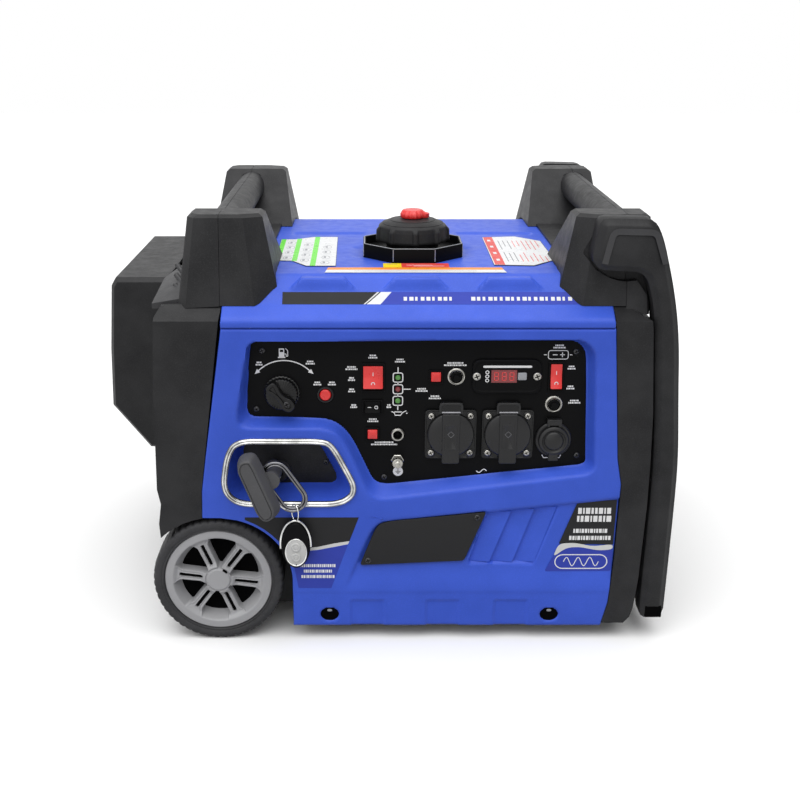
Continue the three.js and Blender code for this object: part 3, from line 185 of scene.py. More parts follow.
def rectangle(x, z, width, height, radius=0.0, steps=4):
    """An upright rectangle about (x, z), with its corners rounded."""
    w, h = width / 2, height / 2
    points = [(x - w, z - h), (x + w, z - h), (x + w, z + h), (x - w, z + h)]
    return rounded(points, radius, steps) if radius else np.array(points, float)


def outline_of(corners, radius, steps=5):
    """A rounded outline as a function of how far it is moved in: sharp corners first, then their rounding."""
    corners = np.array(corners, float)
    radius = np.broadcast_to(radius, len(corners)).astype(float)
    way = outwards(corners)
    return lambda inset: rounded(corners - way * inset, np.maximum(radius - inset * 0.6, 0.05), steps)


def block(x, z, width, height, radius=0.3):
    """outline_of an upright rectangle about (x, z)."""
    return outline_of(rectangle(x, z, width, height), radius)


def resampled(path, step, closed=True):
    """The same line with points at equal distances, about one step apart."""
    path = np.asarray(path, float)
    line = np.concatenate([path, path[:1]]) if closed else path
    gaps = np.linalg.norm(np.diff(line, axis=0), axis=1)
    line = line[np.concatenate([[True], gaps > 1e-6])]
    along = np.concatenate([[0], np.cumsum(np.linalg.norm(np.diff(line, axis=0), axis=1))])
    count = max(int(round(along[-1] / step)), 4)
    places = np.linspace(0, along[-1], count + 1)
    fresh = np.stack([np.interp(places, along, column) for column in line.T], axis=1)
    return fresh[:-1] if closed else fresh


def outwards(outline):
    """The outward direction at each corner of an outline, longer at a sharp corner."""
    area = np.sum(outline[:, 0] * np.roll(outline[:, 1], -1) - np.roll(outline[:, 0], -1) * outline[:, 1])
    ahead = unit(np.roll(outline, -1, axis=0) - outline)
    behind = unit(outline - np.roll(outline, 1, axis=0))
    turn = np.sign(area)
    first = np.stack([behind[:, 1], -behind[:, 0]], axis=1) * turn
    second = np.stack([ahead[:, 1], -ahead[:, 0]], axis=1) * turn
    middle = unit(first + second)
    return middle / np.clip(np.sum(middle * first, axis=1, keepdims=True), 0.5, 1)


def distance(x, z, outline):
    """Distance from points to a closed outline, negative inside it (even-odd rule)."""
    a = outline
    b = np.roll(outline, -1, axis=0)
    inside = np.zeros(x.shape, bool)
    nearest = np.full(x.shape, 1e9)
    for (ax, az), (bx, bz) in zip(a, b):
        ex, ez = bx - ax, bz - az
        t = np.clip(((x - ax) * ex + (z - az) * ez) / max(ex * ex + ez * ez, 1e-12), 0, 1)
        nearest = np.minimum(nearest, np.hypot(x - ax - t * ex, z - az - t * ez))
        crosses = (az > z) != (bz > z)
        inside ^= crosses & (x < ex * (z - az) / (ez if ez else 1e-9) + ax)
    return np.where(inside, -nearest, nearest)


def grid_faces(rows, columns, wrap_rows=False, wrap_columns=False):
    """The four-cornered faces of a grid of points, with either direction closed on itself."""
    index = np.arange(rows * columns).reshape(rows, columns)
    if wrap_rows:
        index = np.concatenate([index, index[:1]])
    if wrap_columns:
        index = np.concatenate([index, index[:, :1]], axis=1)
    corners = [index[:-1, :-1], index[:-1, 1:], index[1:, 1:], index[1:, :-1]]
    return np.stack([c.ravel() for c in corners], axis=1)


# ---- Outlines in (x, z) of the front face
SLANT, FIELD_SLANT = 0.13, 0.112
BEZEL = rounded(
    [(-159, 315.5), (157, 318), (171, 306), (177, 180.6), (-43, 152), (-70, 217), (-86, 227.5), (-170, 227.5),
     (-174, 238)], [10, 10, 14, 14, 16, 22, 14, 14, 12])
WINDOW = rounded(
    [(-154, 313), (153, 313), (162, 303), (168, 190), (164, 187), (-28, 166), (-40, 169), (-63, 219), (-81, 235),
     (-159, 237), (-163, 243), (-159, 308)], [10, 8, 8, 4, 4, 10, 8, 16, 16, 6, 6, 8])
MOUTH = rounded(
    [(-172, 217), (-89, 217), (-81, 212), (-58, 165), (-72, 150), (-174, 150), (-188, 165), (-182, 203)], 14)
RING = rounded(
    [(-172, 216.4), (-89, 216.4), (-80, 211), (-56.8, 165), (-72, 150.6), (-174, 150.6), (-188, 166), (-182, 203)], 15)
FLOOR = rounded([(-168, 200), (-96, 200), (-92, 196), (-77, 166), (-80, 159), (-167, 159), (-171, 164), (-170, 196)], 8)
LOWER_FIELD = rounded([(-74, 50), (-60, 84), (-46, 120), (-34, 131), (230, 160.6), (230, 50)], [2, 10, 18, 8, 0.1, 0.1])
NAME_PLATE = rounded([(-54, 83), (50, 88), (71, 141), (-30, 130.5), (-38, 125)], [3, 3, 3, 14, 12])
LOUVRES = [((54, 72), (76, 96)), ((76, 96), (99, 119)), ((99, 119), (121, 141))]
DRAIN_HOLES = {"left": -85, "right": 138}
DRAIN_LEVEL = 27.5


def fill(mesh, points, groups):
    """Puts whole arrays of points and faces into a mesh; each group's faces have equal corners."""
    corners = np.concatenate([group.ravel() for group in groups]).astype(np.int32)
    sizes = np.concatenate([np.full(len(group), group.shape[1]) for group in groups])
    mesh.vertices.add(len(points))
    mesh.vertices.foreach_set("co", np.ascontiguousarray(points, np.float32).ravel())
    mesh.loops.add(len(corners))
    mesh.loops.foreach_set("vertex_index", corners)
    mesh.polygons.add(len(sizes))
    mesh.polygons.foreach_set("loop_start", (np.cumsum(sizes) - sizes).astype(np.int32))
    mesh.update(calc_edges=True)
    mesh.validate()


def face_outwards(mesh, merge=0.0):
    """Turns the faces of a closed mesh outwards, after merging points closer than merge metres."""
    work = bmesh.new()
    work.from_mesh(mesh)
    if merge:
        bmesh.ops.remove_doubles(work, verts=work.verts, dist=merge)
    bmesh.ops.recalc_face_normals(work, faces=work.faces)
    work.to_mesh(mesh)
    work.free()


def shaded(mesh, crease):
    """Smooth shading, with edges sharp where the faces turn by more than crease degrees."""
    mesh.polygons.foreach_set("use_smooth", np.ones(len(mesh.polygons), bool))
    mesh.set_sharp_from_angle(angle=math.radians(crease))


def placed(name, data):
    """An object in the scene for a mesh, camera or light."""
    made = bpy.data.objects.new(name, data)
    bpy.context.scene.collection.objects.link(made)
    return made


def piece(name, points, groups, finish, body="casing", stands_for=(), crease=38, closed=True):
    """A finished piece from arrays in millimetres: its mesh, finish, body and the nodes it replaces."""
    mesh = bpy.data.meshes.new(name)
    fill(mesh, (np.asarray(points, float).reshape(-1, 3) + ORIGIN) / 1000, groups)
    if closed:
        face_outwards(mesh)
    shaded(mesh, crease)
    return finished(placed(name, mesh), finish, body, stands_for)


def coated(made, finish):
    made.data.materials.clear()
    made.data.materials.append(FINISHES[finish])


def finished(made, finish, body, stands_for=()):
    coated(made, finish)
    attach(made, body)
    if stands_for:
        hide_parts(*stands_for)
    return made


def stood(axis, outline, level):
    """An outline of (u, v) placed at one level along an axis: x takes (y, z), y (x, z), z (x, y)."""
    u, v = outline[:, 0], outline[:, 1]
    w = np.full(len(outline), float(level))
    return np.stack({"x": (w, u, v), "y": (u, w, v), "z": (u, v, w)}[axis], axis=1)


def lofted(name, stack, finish, body="casing", **more):
    """A body through loops of equally many points, closed at its first and last loop."""
    rows, count = np.shape(stack)[:2]
    caps = np.array([np.arange(count)[::-1], np.arange(count) + (rows - 1) * count])
    return piece(name, stack, [grid_faces(rows, count, wrap_columns=True), caps], finish, body, **more)


def plate(name, outline, back, front, finish, body="casing", edge=0.6, axis="y", steps=3, rings=(), **more):
    """A flat plate between two levels, its front edge rounded by a quarter circle.

    Each ring is (level, inset): the outline moved in by the inset. The front edge's rings follow
    inset = r (1 - cos a), level = front -/+ r (1 - sin a). Extra rings shape the front further.
    """
    if not callable(outline):
        line = np.asarray(outline, float)
        way = outwards(line)
        outline = lambda inset: line - way * inset
    sign = 1 if front > back else -1
    a = np.linspace(0, math.pi / 2, steps + 1)
    levels = [(back, 0.0)]
    levels += [(front - sign * edge * (1 - math.sin(t)), edge * (1 - math.cos(t))) for t in a]
    levels += list(rings)
    stack = np.stack([stood(axis, outline(inset), level) for level, inset in levels])
    return lofted(name, stack, finish, body, **more)


def turned(name, profile, centre, axis, finish, body="casing", count=48, ripple=None, **more):
    """A body turned about an axis through centre; profile holds (radius, place along the axis).

    ripple(angle, radius, place) may add to the radius, for flutes and treads.
    """
    profile = np.array(profile, float)
    a = np.linspace(0, 2 * math.pi, count, endpoint=False)
    radius = np.repeat(profile[:, :1], count, axis=1)
    along = np.repeat(profile[:, 1:], count, axis=1)
    if ripple:
        radius = radius + ripple(a[None, :], radius, along)
    u, v = radius * np.cos(a), radius * np.sin(a)
    order = {"x": (along, u, v), "y": (u, along, v), "z": (u, v, along)}[axis]
    points = np.stack(order, axis=2)
    points += np.where(np.array([axis == k for k in "xyz"]), 0, np.array(centre, float))
    looped = bool(np.allclose(profile[0], profile[-1]))
    if looped:
        points = points[:-1]
    groups = [grid_faces(len(points), count, wrap_rows=looped, wrap_columns=True)]
    made = piece(name, points, groups, finish, body, closed=False, **more)
    face_outwards(made.data, merge=1e-6)
    made.data.set_sharp_from_angle(angle=math.radians(more.get("crease", 38)))
    return made


def boss(name, base, profile, x, z, finish, body="casing", **more):
    """A body turned about a line along Y; its profile holds (radius, place in front of or behind base)."""
    return turned(name, [(radius, base + place) for radius, place in profile], (x, 0, z), "y", finish, body, **more)


def tube(name, path, section, finish, body="casing", closed=False, across=(0, 1, 0), **more):
    """A section carried along a path: section holds (side, across), or one radius for a round one.

    The side direction at each point is the path's direction crossed with the fixed across.
    """
    path = np.array(path, float)
    if np.ndim(section) == 0:
        a = np.linspace(0, 2 * math.pi, 12, endpoint=False)
        section = np.stack([np.cos(a), np.sin(a)], axis=1) * section
    section = np.array(section, float)
    if closed:
        ahead = np.roll(path, -1, axis=0) - np.roll(path, 1, axis=0)
    else:
        ahead = np.gradient(path, axis=0)
    ahead = unit(ahead)
    across = np.array(across, float)
    side = unit(np.cross(ahead, across))
    lift = unit(np.cross(side, ahead))
    points = path[:, None] + side[:, None] * section[None, :, :1] + lift[:, None] * section[None, :, 1:]
    if not closed:
        return lofted(name, points, finish, body, **more)
    return piece(name, points, [grid_faces(*points.shape[:2], True, True)], finish, body, **more)


def on_face(path, y):
    """A line of (x, z) points at one y."""
    return stood("y", np.asarray(path, float), y)


def arc(x, z, radius, start, end, count=24):
    """Points on a circle about (x, z) from one angle to another, in degrees."""
    a = np.radians(np.linspace(start, end, count))
    return np.stack([x + radius * np.cos(a), z + radius * np.sin(a)], axis=1)


def thick_sheet(node, points, wall):
    """A moulded panel in a CAD node's place: a grid of points, with its wall added inwards."""
    made = piece(node + "_moulding", points, [grid_faces(*points.shape[:2])], "shell", stands_for=[node],
                 closed=False, crease=60)
    shell = made.modifiers.new("wall", "SOLIDIFY")
    shell.thickness = wall / 1000
    shell.offset = -1


def softened(node, finish, width, body="casing", segments=3, angle=24):
    """A copy of a CAD node with its flat stretches joined and its corners bevelled."""
    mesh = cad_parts[node].data.copy()
    mesh.name = node + "_shell"
    work = bmesh.new()
    work.from_mesh(mesh)
    bmesh.ops.remove_doubles(work, verts=work.verts, dist=2e-5)
    bmesh.ops.dissolve_limit(work, angle_limit=math.radians(1.2), verts=work.verts, edges=work.edges)
    work.to_mesh(mesh)
    work.free()
    shaded(mesh, angle)
    made = placed(node + "_shell", mesh)
    bevel = made.modifiers.new("rounding", "BEVEL")
    bevel.width = width / 1000
    bevel.segments = segments
    bevel.limit_method = "ANGLE"
    bevel.angle_limit = math.radians(angle)
    bevel.harden_normals = True
    return finished(made, finish, body, [node])


# ---- Finishes
FINISHES = {}


class Tree:
    """A small writer of node trees."""

    def __init__(self, tree):
        self.tree = tree

    def add(self, kind, links=None, **values):
        node = self.tree.nodes.new(kind)
        for key, value in values.items():
            setattr(node, key, value)
        self.fill(node, links or {})
        return node

    def fill(self, node, links):
        """Gives sockets their values, or links them to another node's output."""
        for socket, source in links.items():
            if hasattr(source, "is_output"):
                self.tree.links.new(source, node.inputs[socket])
            else:
                node.inputs[socket].default_value = source

    def any_ray(self, *kinds):
        """1 for rays of any of the named kinds."""
        path = self.add("ShaderNodeLightPath")
        seen = path.outputs[kinds[0]]
        for kind in kinds[1:]:
            seen = self.add("ShaderNodeMath", {0: seen, 1: path.outputs[kind]}, operation="MAXIMUM").outputs[0]
        return seen


class Nodes(Tree):
    """A material's node tree, with its shader in self.shader."""

    def __init__(self, name):
        self.material = bpy.data.materials.new(name)
        self.material.use_nodes = True
        super().__init__(self.material.node_tree)
        self.shader = self.tree.nodes["Principled BSDF"]
        self.place = self.add("ShaderNodeTexCoord").outputs["Object"]

    def shade(self, **sockets):
        """Sets the shader's sockets; an underscore stands for a space in a socket's name."""
        self.fill(self.shader, {socket.replace("_", " "): source for socket, source in sockets.items()})

    def noise(self, size, detail=3.0, roughness=0.55):
        """Cloudy noise whose blotches are about size millimetres across."""
        return self.add("ShaderNodeTexNoise", {
            "Vector": self.place, "Scale": 1000 / size, "Detail": detail, "Roughness": roughness,
        }).outputs["Fac"]

    def span(self, value, low, high, start=0.3, end=0.7):
        return self.add("ShaderNodeMapRange", {
            "Value": value, "From Min": start, "From Max": end, "To Min": low, "To Max": high,
        }).outputs["Result"]

    def blend(self, factor, first, second):
        """A colour between two, each given as an output or as three numbers."""
        first, second = (colour if hasattr(colour, "is_output") else (*colour, 1) for colour in (first, second))
        return self.add("ShaderNodeMix", {0: factor, 6: first, 7: second}, data_type="RGBA").outputs[2]

    def bump(self, height, depth):
        node = self.add("ShaderNodeBump", {"Height": height, "Distance": depth / 1000, "Strength": 1.0})
        self.shade(Normal=node.outputs["Normal"])


def moulded(key, colour, roughness, grain=0.9, depth=0.05, tone=0.12, speck=0.0, coat=0.0, metal=0.0, shine=0.5):
    """A moulded or painted finish: colour with cloudy tone, fine grain as bump, uneven gloss."""
    nodes = Nodes(key)
    colour = np.array(colour)
    pale = np.clip(colour * (1 + tone) + speck * 0.02, 0, 1)
    deep = colour * (1 - tone)
    fine = nodes.noise(grain, 2.0)
    broad = nodes.noise(45, 4.0)
    base = nodes.blend(nodes.span(broad, 0, 1, 0.35, 0.65), deep, pale)
    if speck:
        light = np.clip(colour * 1.7 + 0.012, 0, 1)
        base = nodes.blend(nodes.span(nodes.noise(grain * 1.3, 1.0), 0, speck, 0.52, 0.72), base, light)
    nodes.shade(
        Base_Color=base, Roughness=nodes.span(nodes.noise(9, 3.0), roughness - 0.06, roughness + 0.06),
        Metallic=metal, Specular_IOR_Level=shine, Coat_Weight=coat, Coat_Roughness=0.12)
    nodes.bump(fine, depth)
    FINISHES[key] = nodes.material
    return nodes


def metal(key, colour, roughness, streak=0.0, dark=0.82, size=6):
    """Plated or bare metal: stains in the colour and roughness, with fine draw lines. On chrome, whose dark is low, the
    colour's broad blotches are painted reflections of dark surroundings as well as stains.
    """
    nodes = Nodes(key)
    colour = np.array(colour)
    stain_and_painted_reflection = nodes.span(nodes.noise(size, 2.0), 0, 1, 0.38, 0.66)
    nodes.shade(
        Base_Color=nodes.blend(stain_and_painted_reflection, colour, colour * dark), Metallic=1.0,
        Roughness=nodes.span(nodes.noise(3, 3.0), roughness * 0.8, roughness * 1.35))
    if streak:
        nodes.bump(nodes.noise(0.5, 2.0), streak)
    FINISHES[key] = nodes.material


def glowing(key, colour, strength, roughness=0.25):
    """A lens or screen lit from behind."""
    nodes = moulded(key, colour, roughness, 0.6, 0.01, 0.1, 0.0, 0.4)
    nodes.shade(Emission_Color=(*colour, 1), Emission_Strength=strength)


def paper(key, colour, gloss=0.3):
    """Printed film: an even colour with faint mottling."""
    nodes = Nodes(key)
    colour = np.array(colour)
    nodes.shade(
        Base_Color=nodes.blend(nodes.span(nodes.noise(14, 3.0), 0, 1), colour * 0.95, colour),
        Roughness=nodes.span(nodes.noise(5, 2.0), gloss - 0.05, gloss + 0.08), Specular_IOR_Level=0.12)
    FINISHES[key] = nodes.material


# ---- Settings
def colour_setting(name, description, default):
    return bpy.props.FloatVectorProperty(
        name=name, description=description, subtype="COLOR", size=3, min=0, max=1, default=default)


def length_setting(name, description, default, low=0.0, high=100.0):
    return bpy.props.FloatProperty(
        name=name, description=description + ", in millimetres", default=default, min=low, max=high)


def number_setting(name, description, default, **more):
    kind = bpy.props.IntProperty if isinstance(default, int) else bpy.props.FloatProperty
    return kind(name=name, description=description, default=default, **more)


class ShellSettings(bpy.types.PropertyGroup):
    shell: colour_setting("Shell colour", "Colour of the panels and the top cover", (0.038, 0.094, 0.56))
    black: colour_setting("Black colour", "Colour of the end caps and handles", (0.0105, 0.0105, 0.0115))
    grain: length_setting("Grain", "Width of the moulded grain", 0.9, 0.2, 5)
    spacing: length_setting("Spacing", "Distance between the points of the moulded panels", 1.75, 1, 6)
    wall: length_setting("Wall", "Thickness of the moulded panels", 2.2, 1, 4)
    rounding: length_setting("Rounding", "Bevel of the black mouldings' corners", 2.2, 0.2, 5)


class WheelSettings(bpy.types.PropertyGroup):
    rim: colour_setting("Rim colour", "Colour of the wheel's rim", (0.33, 0.33, 0.34))
    rubber: colour_setting("Rubber colour", "Colour of the tyre", (0.020, 0.020, 0.022))
    spokes: number_setting("Spokes", "Double spokes in a wheel", 6, min=3, max=12)
    first_spoke: number_setting("First spoke", "Angle of the first spoke", math.radians(-7), subtype="ANGLE")
    notches: number_setting("Notches", "Tread notches round a tyre", 52, min=8)


class ControlSettings(bpy.types.PropertyGroup):
    plate: colour_setting("Plate colour", "Colour of the control plate", (0.0042, 0.0042, 0.0045))
    red: colour_setting("Switch colour", "Colour of the rockers and push buttons", (0.72, 0.022, 0.02))
    ink: colour_setting("Ink colour", "Colour of the printed signs", (0.82, 0.82, 0.82))
    line: length_setting("Ink line", "Width of a printed line", 0.9, 0.2, 3)
    digits: number_setting("Digits", "Figures in the meter's window", 3, min=1, max=5)


class StarterSettings(bpy.types.PropertyGroup):
    ring: length_setting("Ring radius", "Half the width of the bright ring", 2.6, 1, 4)
    grip: colour_setting("Grip colour", "Colour of the starter grip", (0.055, 0.055, 0.058))


class StageSettings(bpy.types.PropertyGroup):
    lens: number_setting("Lens", "Focal length of the camera", 52.875, min=10)
    shift: number_setting("Shift", "Sideways shift of the picture", 0.035)
    pitch: number_setting("Pitch", "Angle of the camera below level", math.radians(18.5), subtype="ANGLE")
    top_light: number_setting("Top light", "Strength of the overhead lamp", 2.5, min=0)
    front_light: number_setting("Front light", "Strength of the front lamp", 0.7, min=0)
    side_light: number_setting("Side light", "Strength of the side lamp", 0.6, min=0)
    sky: number_setting("Sky", "Strength of the even light", 0.32, min=0)
    floor: colour_setting("Floor colour", "Colour of the floor", (0.93, 0.93, 0.93))


# ---- Moulded panels
def panel_left(z):
    """The front face's left edge: the wheel arch's ellipse up to its top, then the cap's joint."""
    rise = np.clip((z - WHEEL_MIDDLE[2]) / ARCH_RISE, 0, 1)
    arch = WHEEL_MIDDLE[0] + ARCH_REACH * np.sqrt(1 - rise ** 2)
    joint = np.interp(z, [ARCH_TOP, 163, 198, SEAM], [LEFT - 26, LEFT - 25, LEFT - 20, LEFT])
    return np.where(z < ARCH_TOP - 0.05, arch, joint)


def panel_right(z):
    heights = [BOTTOM, 41, 86, 170, 197, SEAM]
    return np.interp(z, heights, RIGHT + np.array([5, 11, 14, 16, 11, 1]))


def hollow(x, z, mouth, floor, behind, share, sunk):
    """Depth of a hollow: a filleted slope from its mouth to its floor, and the floor sunk further."""
    mouth, floor = distance(x, z, mouth), distance(x, z, floor)
    slope = np.where(mouth < 0, -mouth / np.maximum(-mouth + np.maximum(floor, 0), 1e-6), 0)
    return behind * filleted(slope, share) + np.where(floor < 0, smooth_step(-floor, 0.5, 4) * sunk, 0)


def panel_depth(x, z):
    """How far the front panel lies behind its face: bezel, recess, lower field, louvres and skirt."""
    depth = hollow(x, z, BEZEL, WINDOW, PLATE + FACE + 0.6, 0.14, 2.2)
    depth += hollow(x, z, MOUTH, FLOOR, RECESS_PLATE + FACE + 0.8, 0.12, 2.0)

    field = -distance(x, z, LOWER_FIELD)
    depth += 3.4 * smooth_step(field, 0, 4.5) * smooth_step(z, 54, 84)

    (low, high), (last_low, last_high) = LOUVRES[0][0], LOUVRES[-1][1]
    slope = (z - 85) / 58
    inside = smooth_step(x - low - (high - low) * slope, 0.4, 2.2)
    inside *= smooth_step(last_low + (last_high - last_low) * slope - x, 0, 2)
    depth += 4.4 * inside * smooth_step(z, 83.2, 85.6) * smooth_step(131 + (x + 34) * FIELD_SLANT - z, 3.5, 6.5)

    depth += 1.7 * (1 - smooth_step(distance(x, z, NAME_PLATE), 0.6, 2.2))

    depth += 0.02 * np.clip(54 - z, 0, None) + 0.4 * smooth_step(54 - z, 0, 2)
    for start in (-63, 13, 82):
        inside = smooth_step(x, start - 0.9, start + 0.9) * (1 - smooth_step(x, start + 32, start + 34))
        depth += 1.5 * inside * (1 - smooth_step(z, 42.4, 43.8))
    for hole in DRAIN_HOLES.values():
        away = np.hypot((x - hole) / 9.8, (z - DRAIN_LEVEL) / 7.9)
        depth += 3.4 * (1 - smooth_step(away, 0.86, 1.02))

    margin = np.minimum(np.minimum(x - panel_left(z), panel_right(z) - x), np.minimum(SEAM - 0.3 - z, z - BOTTOM))
    fillet = 1.5
    turn = np.clip(fillet - margin, 0, fillet)
    return depth + fillet - np.sqrt(fillet ** 2 - turn ** 2)


class GENERATOR_OT_front_panel(bpy.types.Operator):
    """Front panel: y = -face + depth(x, z) on rows of z, each row running from edge to edge"""
    bl_idname = "generator.front_panel"
    bl_label = "Front panel"

    def execute(self, context):
        look = context.scene.generator_shell
        rows = int((SEAM - BOTTOM) / look.spacing)
        z = np.linspace(BOTTOM, SEAM - 0.3, rows)
        arch_row = np.searchsorted(z, ARCH_TOP)
        z[arch_row - 1:arch_row + 1] = ARCH_TOP - 0.1, ARCH_TOP
        columns = int((RIGHT - LEFT + 34) / look.spacing)
        edge_share = np.array([0, 0.0016, 0.0034])
        share = np.concatenate([edge_share, np.linspace(0.006, 0.994, columns), 1 - edge_share[::-1]])
        x = panel_left(z)[:, None] * (1 - share) + RIGHT * share
        lean = smooth_step(z, 54, 128) * (1 - smooth_step(z, 190, SEAM - 4))
        lean = lean * (FIELD_SLANT + (SLANT - FIELD_SLANT) * smooth_step(z, 136, 151))
        z = z[:, None] + lean[:, None] * np.clip(x + 40, 0, None)
        x = x + (panel_right(z) - RIGHT) * smooth_step(x, 120, RIGHT)
        points = np.stack([x, -FACE + panel_depth(x, z), z], axis=2)
        thick_sheet("front_panel", points, look.wall)
        # Each drain hole holds a near-black oval set into the panel's dip: painted shade in the hole.
        for word, hole in DRAIN_HOLES.items():
            plate(f"drain_hole_{word}", oval(hole, DRAIN_LEVEL, 9.4, 7.5), -FACE + 5, -FACE + 2.4, "void",
                  edge=0.2, steps=1)
            plate(f"drain_stud_{word}", oval(hole, DRAIN_LEVEL + 4.1, 2.6, 1.5, 20), -FACE + 3, -FACE + 2.0,
                  "grey_key", edge=0.5)
        # Near-black strips behind the panel's left and right joints: painted shade in the gaps.
        for side, edge in (("left", panel_left), ("right", panel_right)):
            z = np.linspace(ARCH_TOP + 1 if side == "left" else BOTTOM + 4, SEAM - 1, 60)
            path = np.stack([edge(z), z], axis=1)
            tube(f"joint_gap_shade_{side}", on_face(path, -FACE + 8.5), rectangle(0, 0, 12, 4), "void")
        for i, ((low, high), (next_low, next_high)) in enumerate(LOUVRES):
            blade = [(low, 85.4, 7.4), (next_low - 0.5, 85.4, 3.9), (next_high - 0.5, 0, 3.9), (high, 0, 7.4)]
            corners = np.array([(u, -FACE + y, v or 126.2 + (u + 34) * FIELD_SLANT) for u, v, y in blade])
            lofted(f"louvre_{i + 1}", [corners + [0, 3.0, 0], corners], "shell", crease=20)
        return {"FINISHED"}


def cover_rise(x, y, base):
    """Height of the top cover over (x, y): the section's height with buttresses and hollows."""
    z = base
    near = np.abs(y)
    for middle in (-89, 0, 89):
        front_face = TOP - 2.4 - (near - FACE + 30.5) * 4.5
        flank = TOP - 2.4 - (np.abs(x - middle) - 20) * 0.85
        wedge = soft_min(soft_min(front_face, flank, 1.0), TOP - 2.2, 1.0)
        z = np.where((y < 0) & (near > FACE - 46) & (near < FACE - 26), soft_max(z, wedge, 0.6), z)
    middle = 1 - smooth_step(np.abs(x), -LEFT - 16, -LEFT - 6)
    z = z - 0.5 * middle * np.clip(y - TANK_REAR - 6, 0, 38)
    ring = np.maximum(np.abs(x), np.abs(y - FILLER[1]))
    ring = np.maximum(ring, (np.abs(x) + np.abs(y - FILLER[1])) * 0.74)
    z = z - 1.8 * (1 - smooth_step(ring, 55, 66))
    for start, end in ((-132, -46), (50, 140)):
        along = smooth_step(x, start, start + 6) * (1 - smooth_step(x, end - 6, end))
        z = z - 1.8 * along * smooth_step(y, 27, 31) * (1 - smooth_step(y, 42, 46))
    return z


def cover_section():
    """The cover's section, front edge to rear edge, and the distance along it at each point."""
    half = np.array([
        (-FACE, SEAM + 0.2), (-FACE, SEAM + 7.5), (-FACE + 19, SEAM + 19.5), (-FACE + 29, SEAM + 30.5),
        (-FACE + 41, TOP - 0.6), (0, TOP)])
    whole = np.concatenate([half, half[-2::-1] * [-1, 1]])
    curve = rounded_open(whole, [5, 2, 2, 6, 1, 6, 2, 2, 5])
    return curve, np.concatenate([[0], np.cumsum(np.linalg.norm(np.diff(curve, axis=0), axis=1))])


def cover_patch(name, corners, finish, lift):
    """A film on the cover's front slope: a grid between four corners (x, place along the section)."""
    curve, along = cover_section()
    u, v = np.meshgrid(np.linspace(0, 1, 14), np.linspace(0, 1, 10), indexing="ij")
    (a, b, c, d) = (np.array(corner, float)[:, None, None] for corner in corners)
    place = (a * (1 - u) + b * u) * (1 - v) + (d * (1 - u) + c * u) * v
    y = np.interp(place[1], along, curve[:, 0])
    z = cover_rise(place[0], y, np.interp(place[1], along, curve[:, 1]))
    top = np.stack([place[0], y - lift * 0.74, z + lift * 0.67], axis=2)
    under = top + np.array([0, 0.5, -0.5])
    loop = np.concatenate([top, under[::-1]])
    rows, count = loop.shape[:2]
    sides = np.array([np.arange(rows) * count, (np.arange(rows) * count + count - 1)[::-1]])
    piece(name, loop, [grid_faces(rows, count, wrap_rows=True), sides], finish)


class GENERATOR_OT_top_cover(bpy.types.Operator):
    """Top cover: the casing's section in (y, z) carried along x, raised and sunk by cover_rise"""
    bl_idname = "generator.top_cover"
    bl_label = "Top cover"

    def execute(self, context):
        look = context.scene.generator_shell
        curve, along = cover_section()
        shoulder = 76.0
        fine = int(shoulder / 1.5)
        coarse = int((along[-1] - 2 * shoulder) / 3.0)
        places = np.concatenate([
            np.linspace(0, shoulder, fine, endpoint=False),
            np.linspace(shoulder, along[-1] - shoulder, coarse, endpoint=False),
            np.linspace(along[-1] - shoulder, along[-1], fine + 1)])
        y = np.interp(places, along, curve[:, 0])[:, None]
        z = np.interp(places, along, curve[:, 1])[:, None]
        edge = np.array([0, 0.5, 1.2])
        x = np.concatenate([LEFT + edge, np.linspace(LEFT + 2.2, RIGHT - 2.2, int((RIGHT - LEFT) / 1.8)),
                            RIGHT - edge[::-1]])[None, :]
        x, y, z = np.broadcast_arrays(x, y, z)
        turn = np.clip(1.4 - np.minimum(x - LEFT, RIGHT - x), 0, 1.4)
        drop = 1.4 - np.sqrt(1.4 ** 2 - turn ** 2)
        z = np.where(np.abs(y) < FACE - 0.5, cover_rise(x, y, z), z) - drop * (np.abs(y) < FACE - 1)
        points = np.stack([x, y, z], axis=2)
        thick_sheet("top_cover", points, look.wall)
        return {"FINISHED"}


class GENERATOR_OT_rear_panel(bpy.types.Operator):
    """Rear panel and maintenance door: the CAD shapes with their edges rounded, and door screws"""
    bl_idname = "generator.rear_panel"
    bl_label = "Rear panel"

    def execute(self, context):
        softened("rear_panel", "shell", 1.2, segments=2)
        softened("maintenance_door", "shell", 0.9, "door", segments=2)
        low, high = box_of("maintenance_door")
        for i in range(4):
            z = low[2] + 34 + 40 * i
            plate(f"door_rib_{i + 1}", rectangle((low[0] + high[0]) / 2 - 10, z, 112, 9, 4), FACE - 0.5, FACE + 1.2,
                  "shell", "door", edge=1.1)
        for i, (x, z) in enumerate([(low[0] + 10, low[2] + 10), (low[0] + 10, high[2] - 10)]):
            screw(f"door_screw_{i + 1}", x, FACE + 0.2, z, 4.0, "zinc", "door", way=1)
        return {"FINISHED"}


class GENERATOR_OT_black_mouldings(bpy.types.Operator):
    """End caps, handle towers, intake cover and tray: the CAD shapes with rounded edges, and trims"""
    bl_idname = "generator.black_mouldings"
    bl_label = "Black mouldings"

    def execute(self, context):
        look = context.scene.generator_shell
        for node in ("left_end_cap", "right_end_cap", "left_handle_shell", "right_handle_shell", "intake_cover"):
            softened(node, "black", look.rounding)
        softened("base_tray", "black", 1.2, segments=2)
        for node in ("foot_front", "foot_rear"):
            softened(node, "tyre", 1.5)
        shoulders()
        return {"FINISHED"}


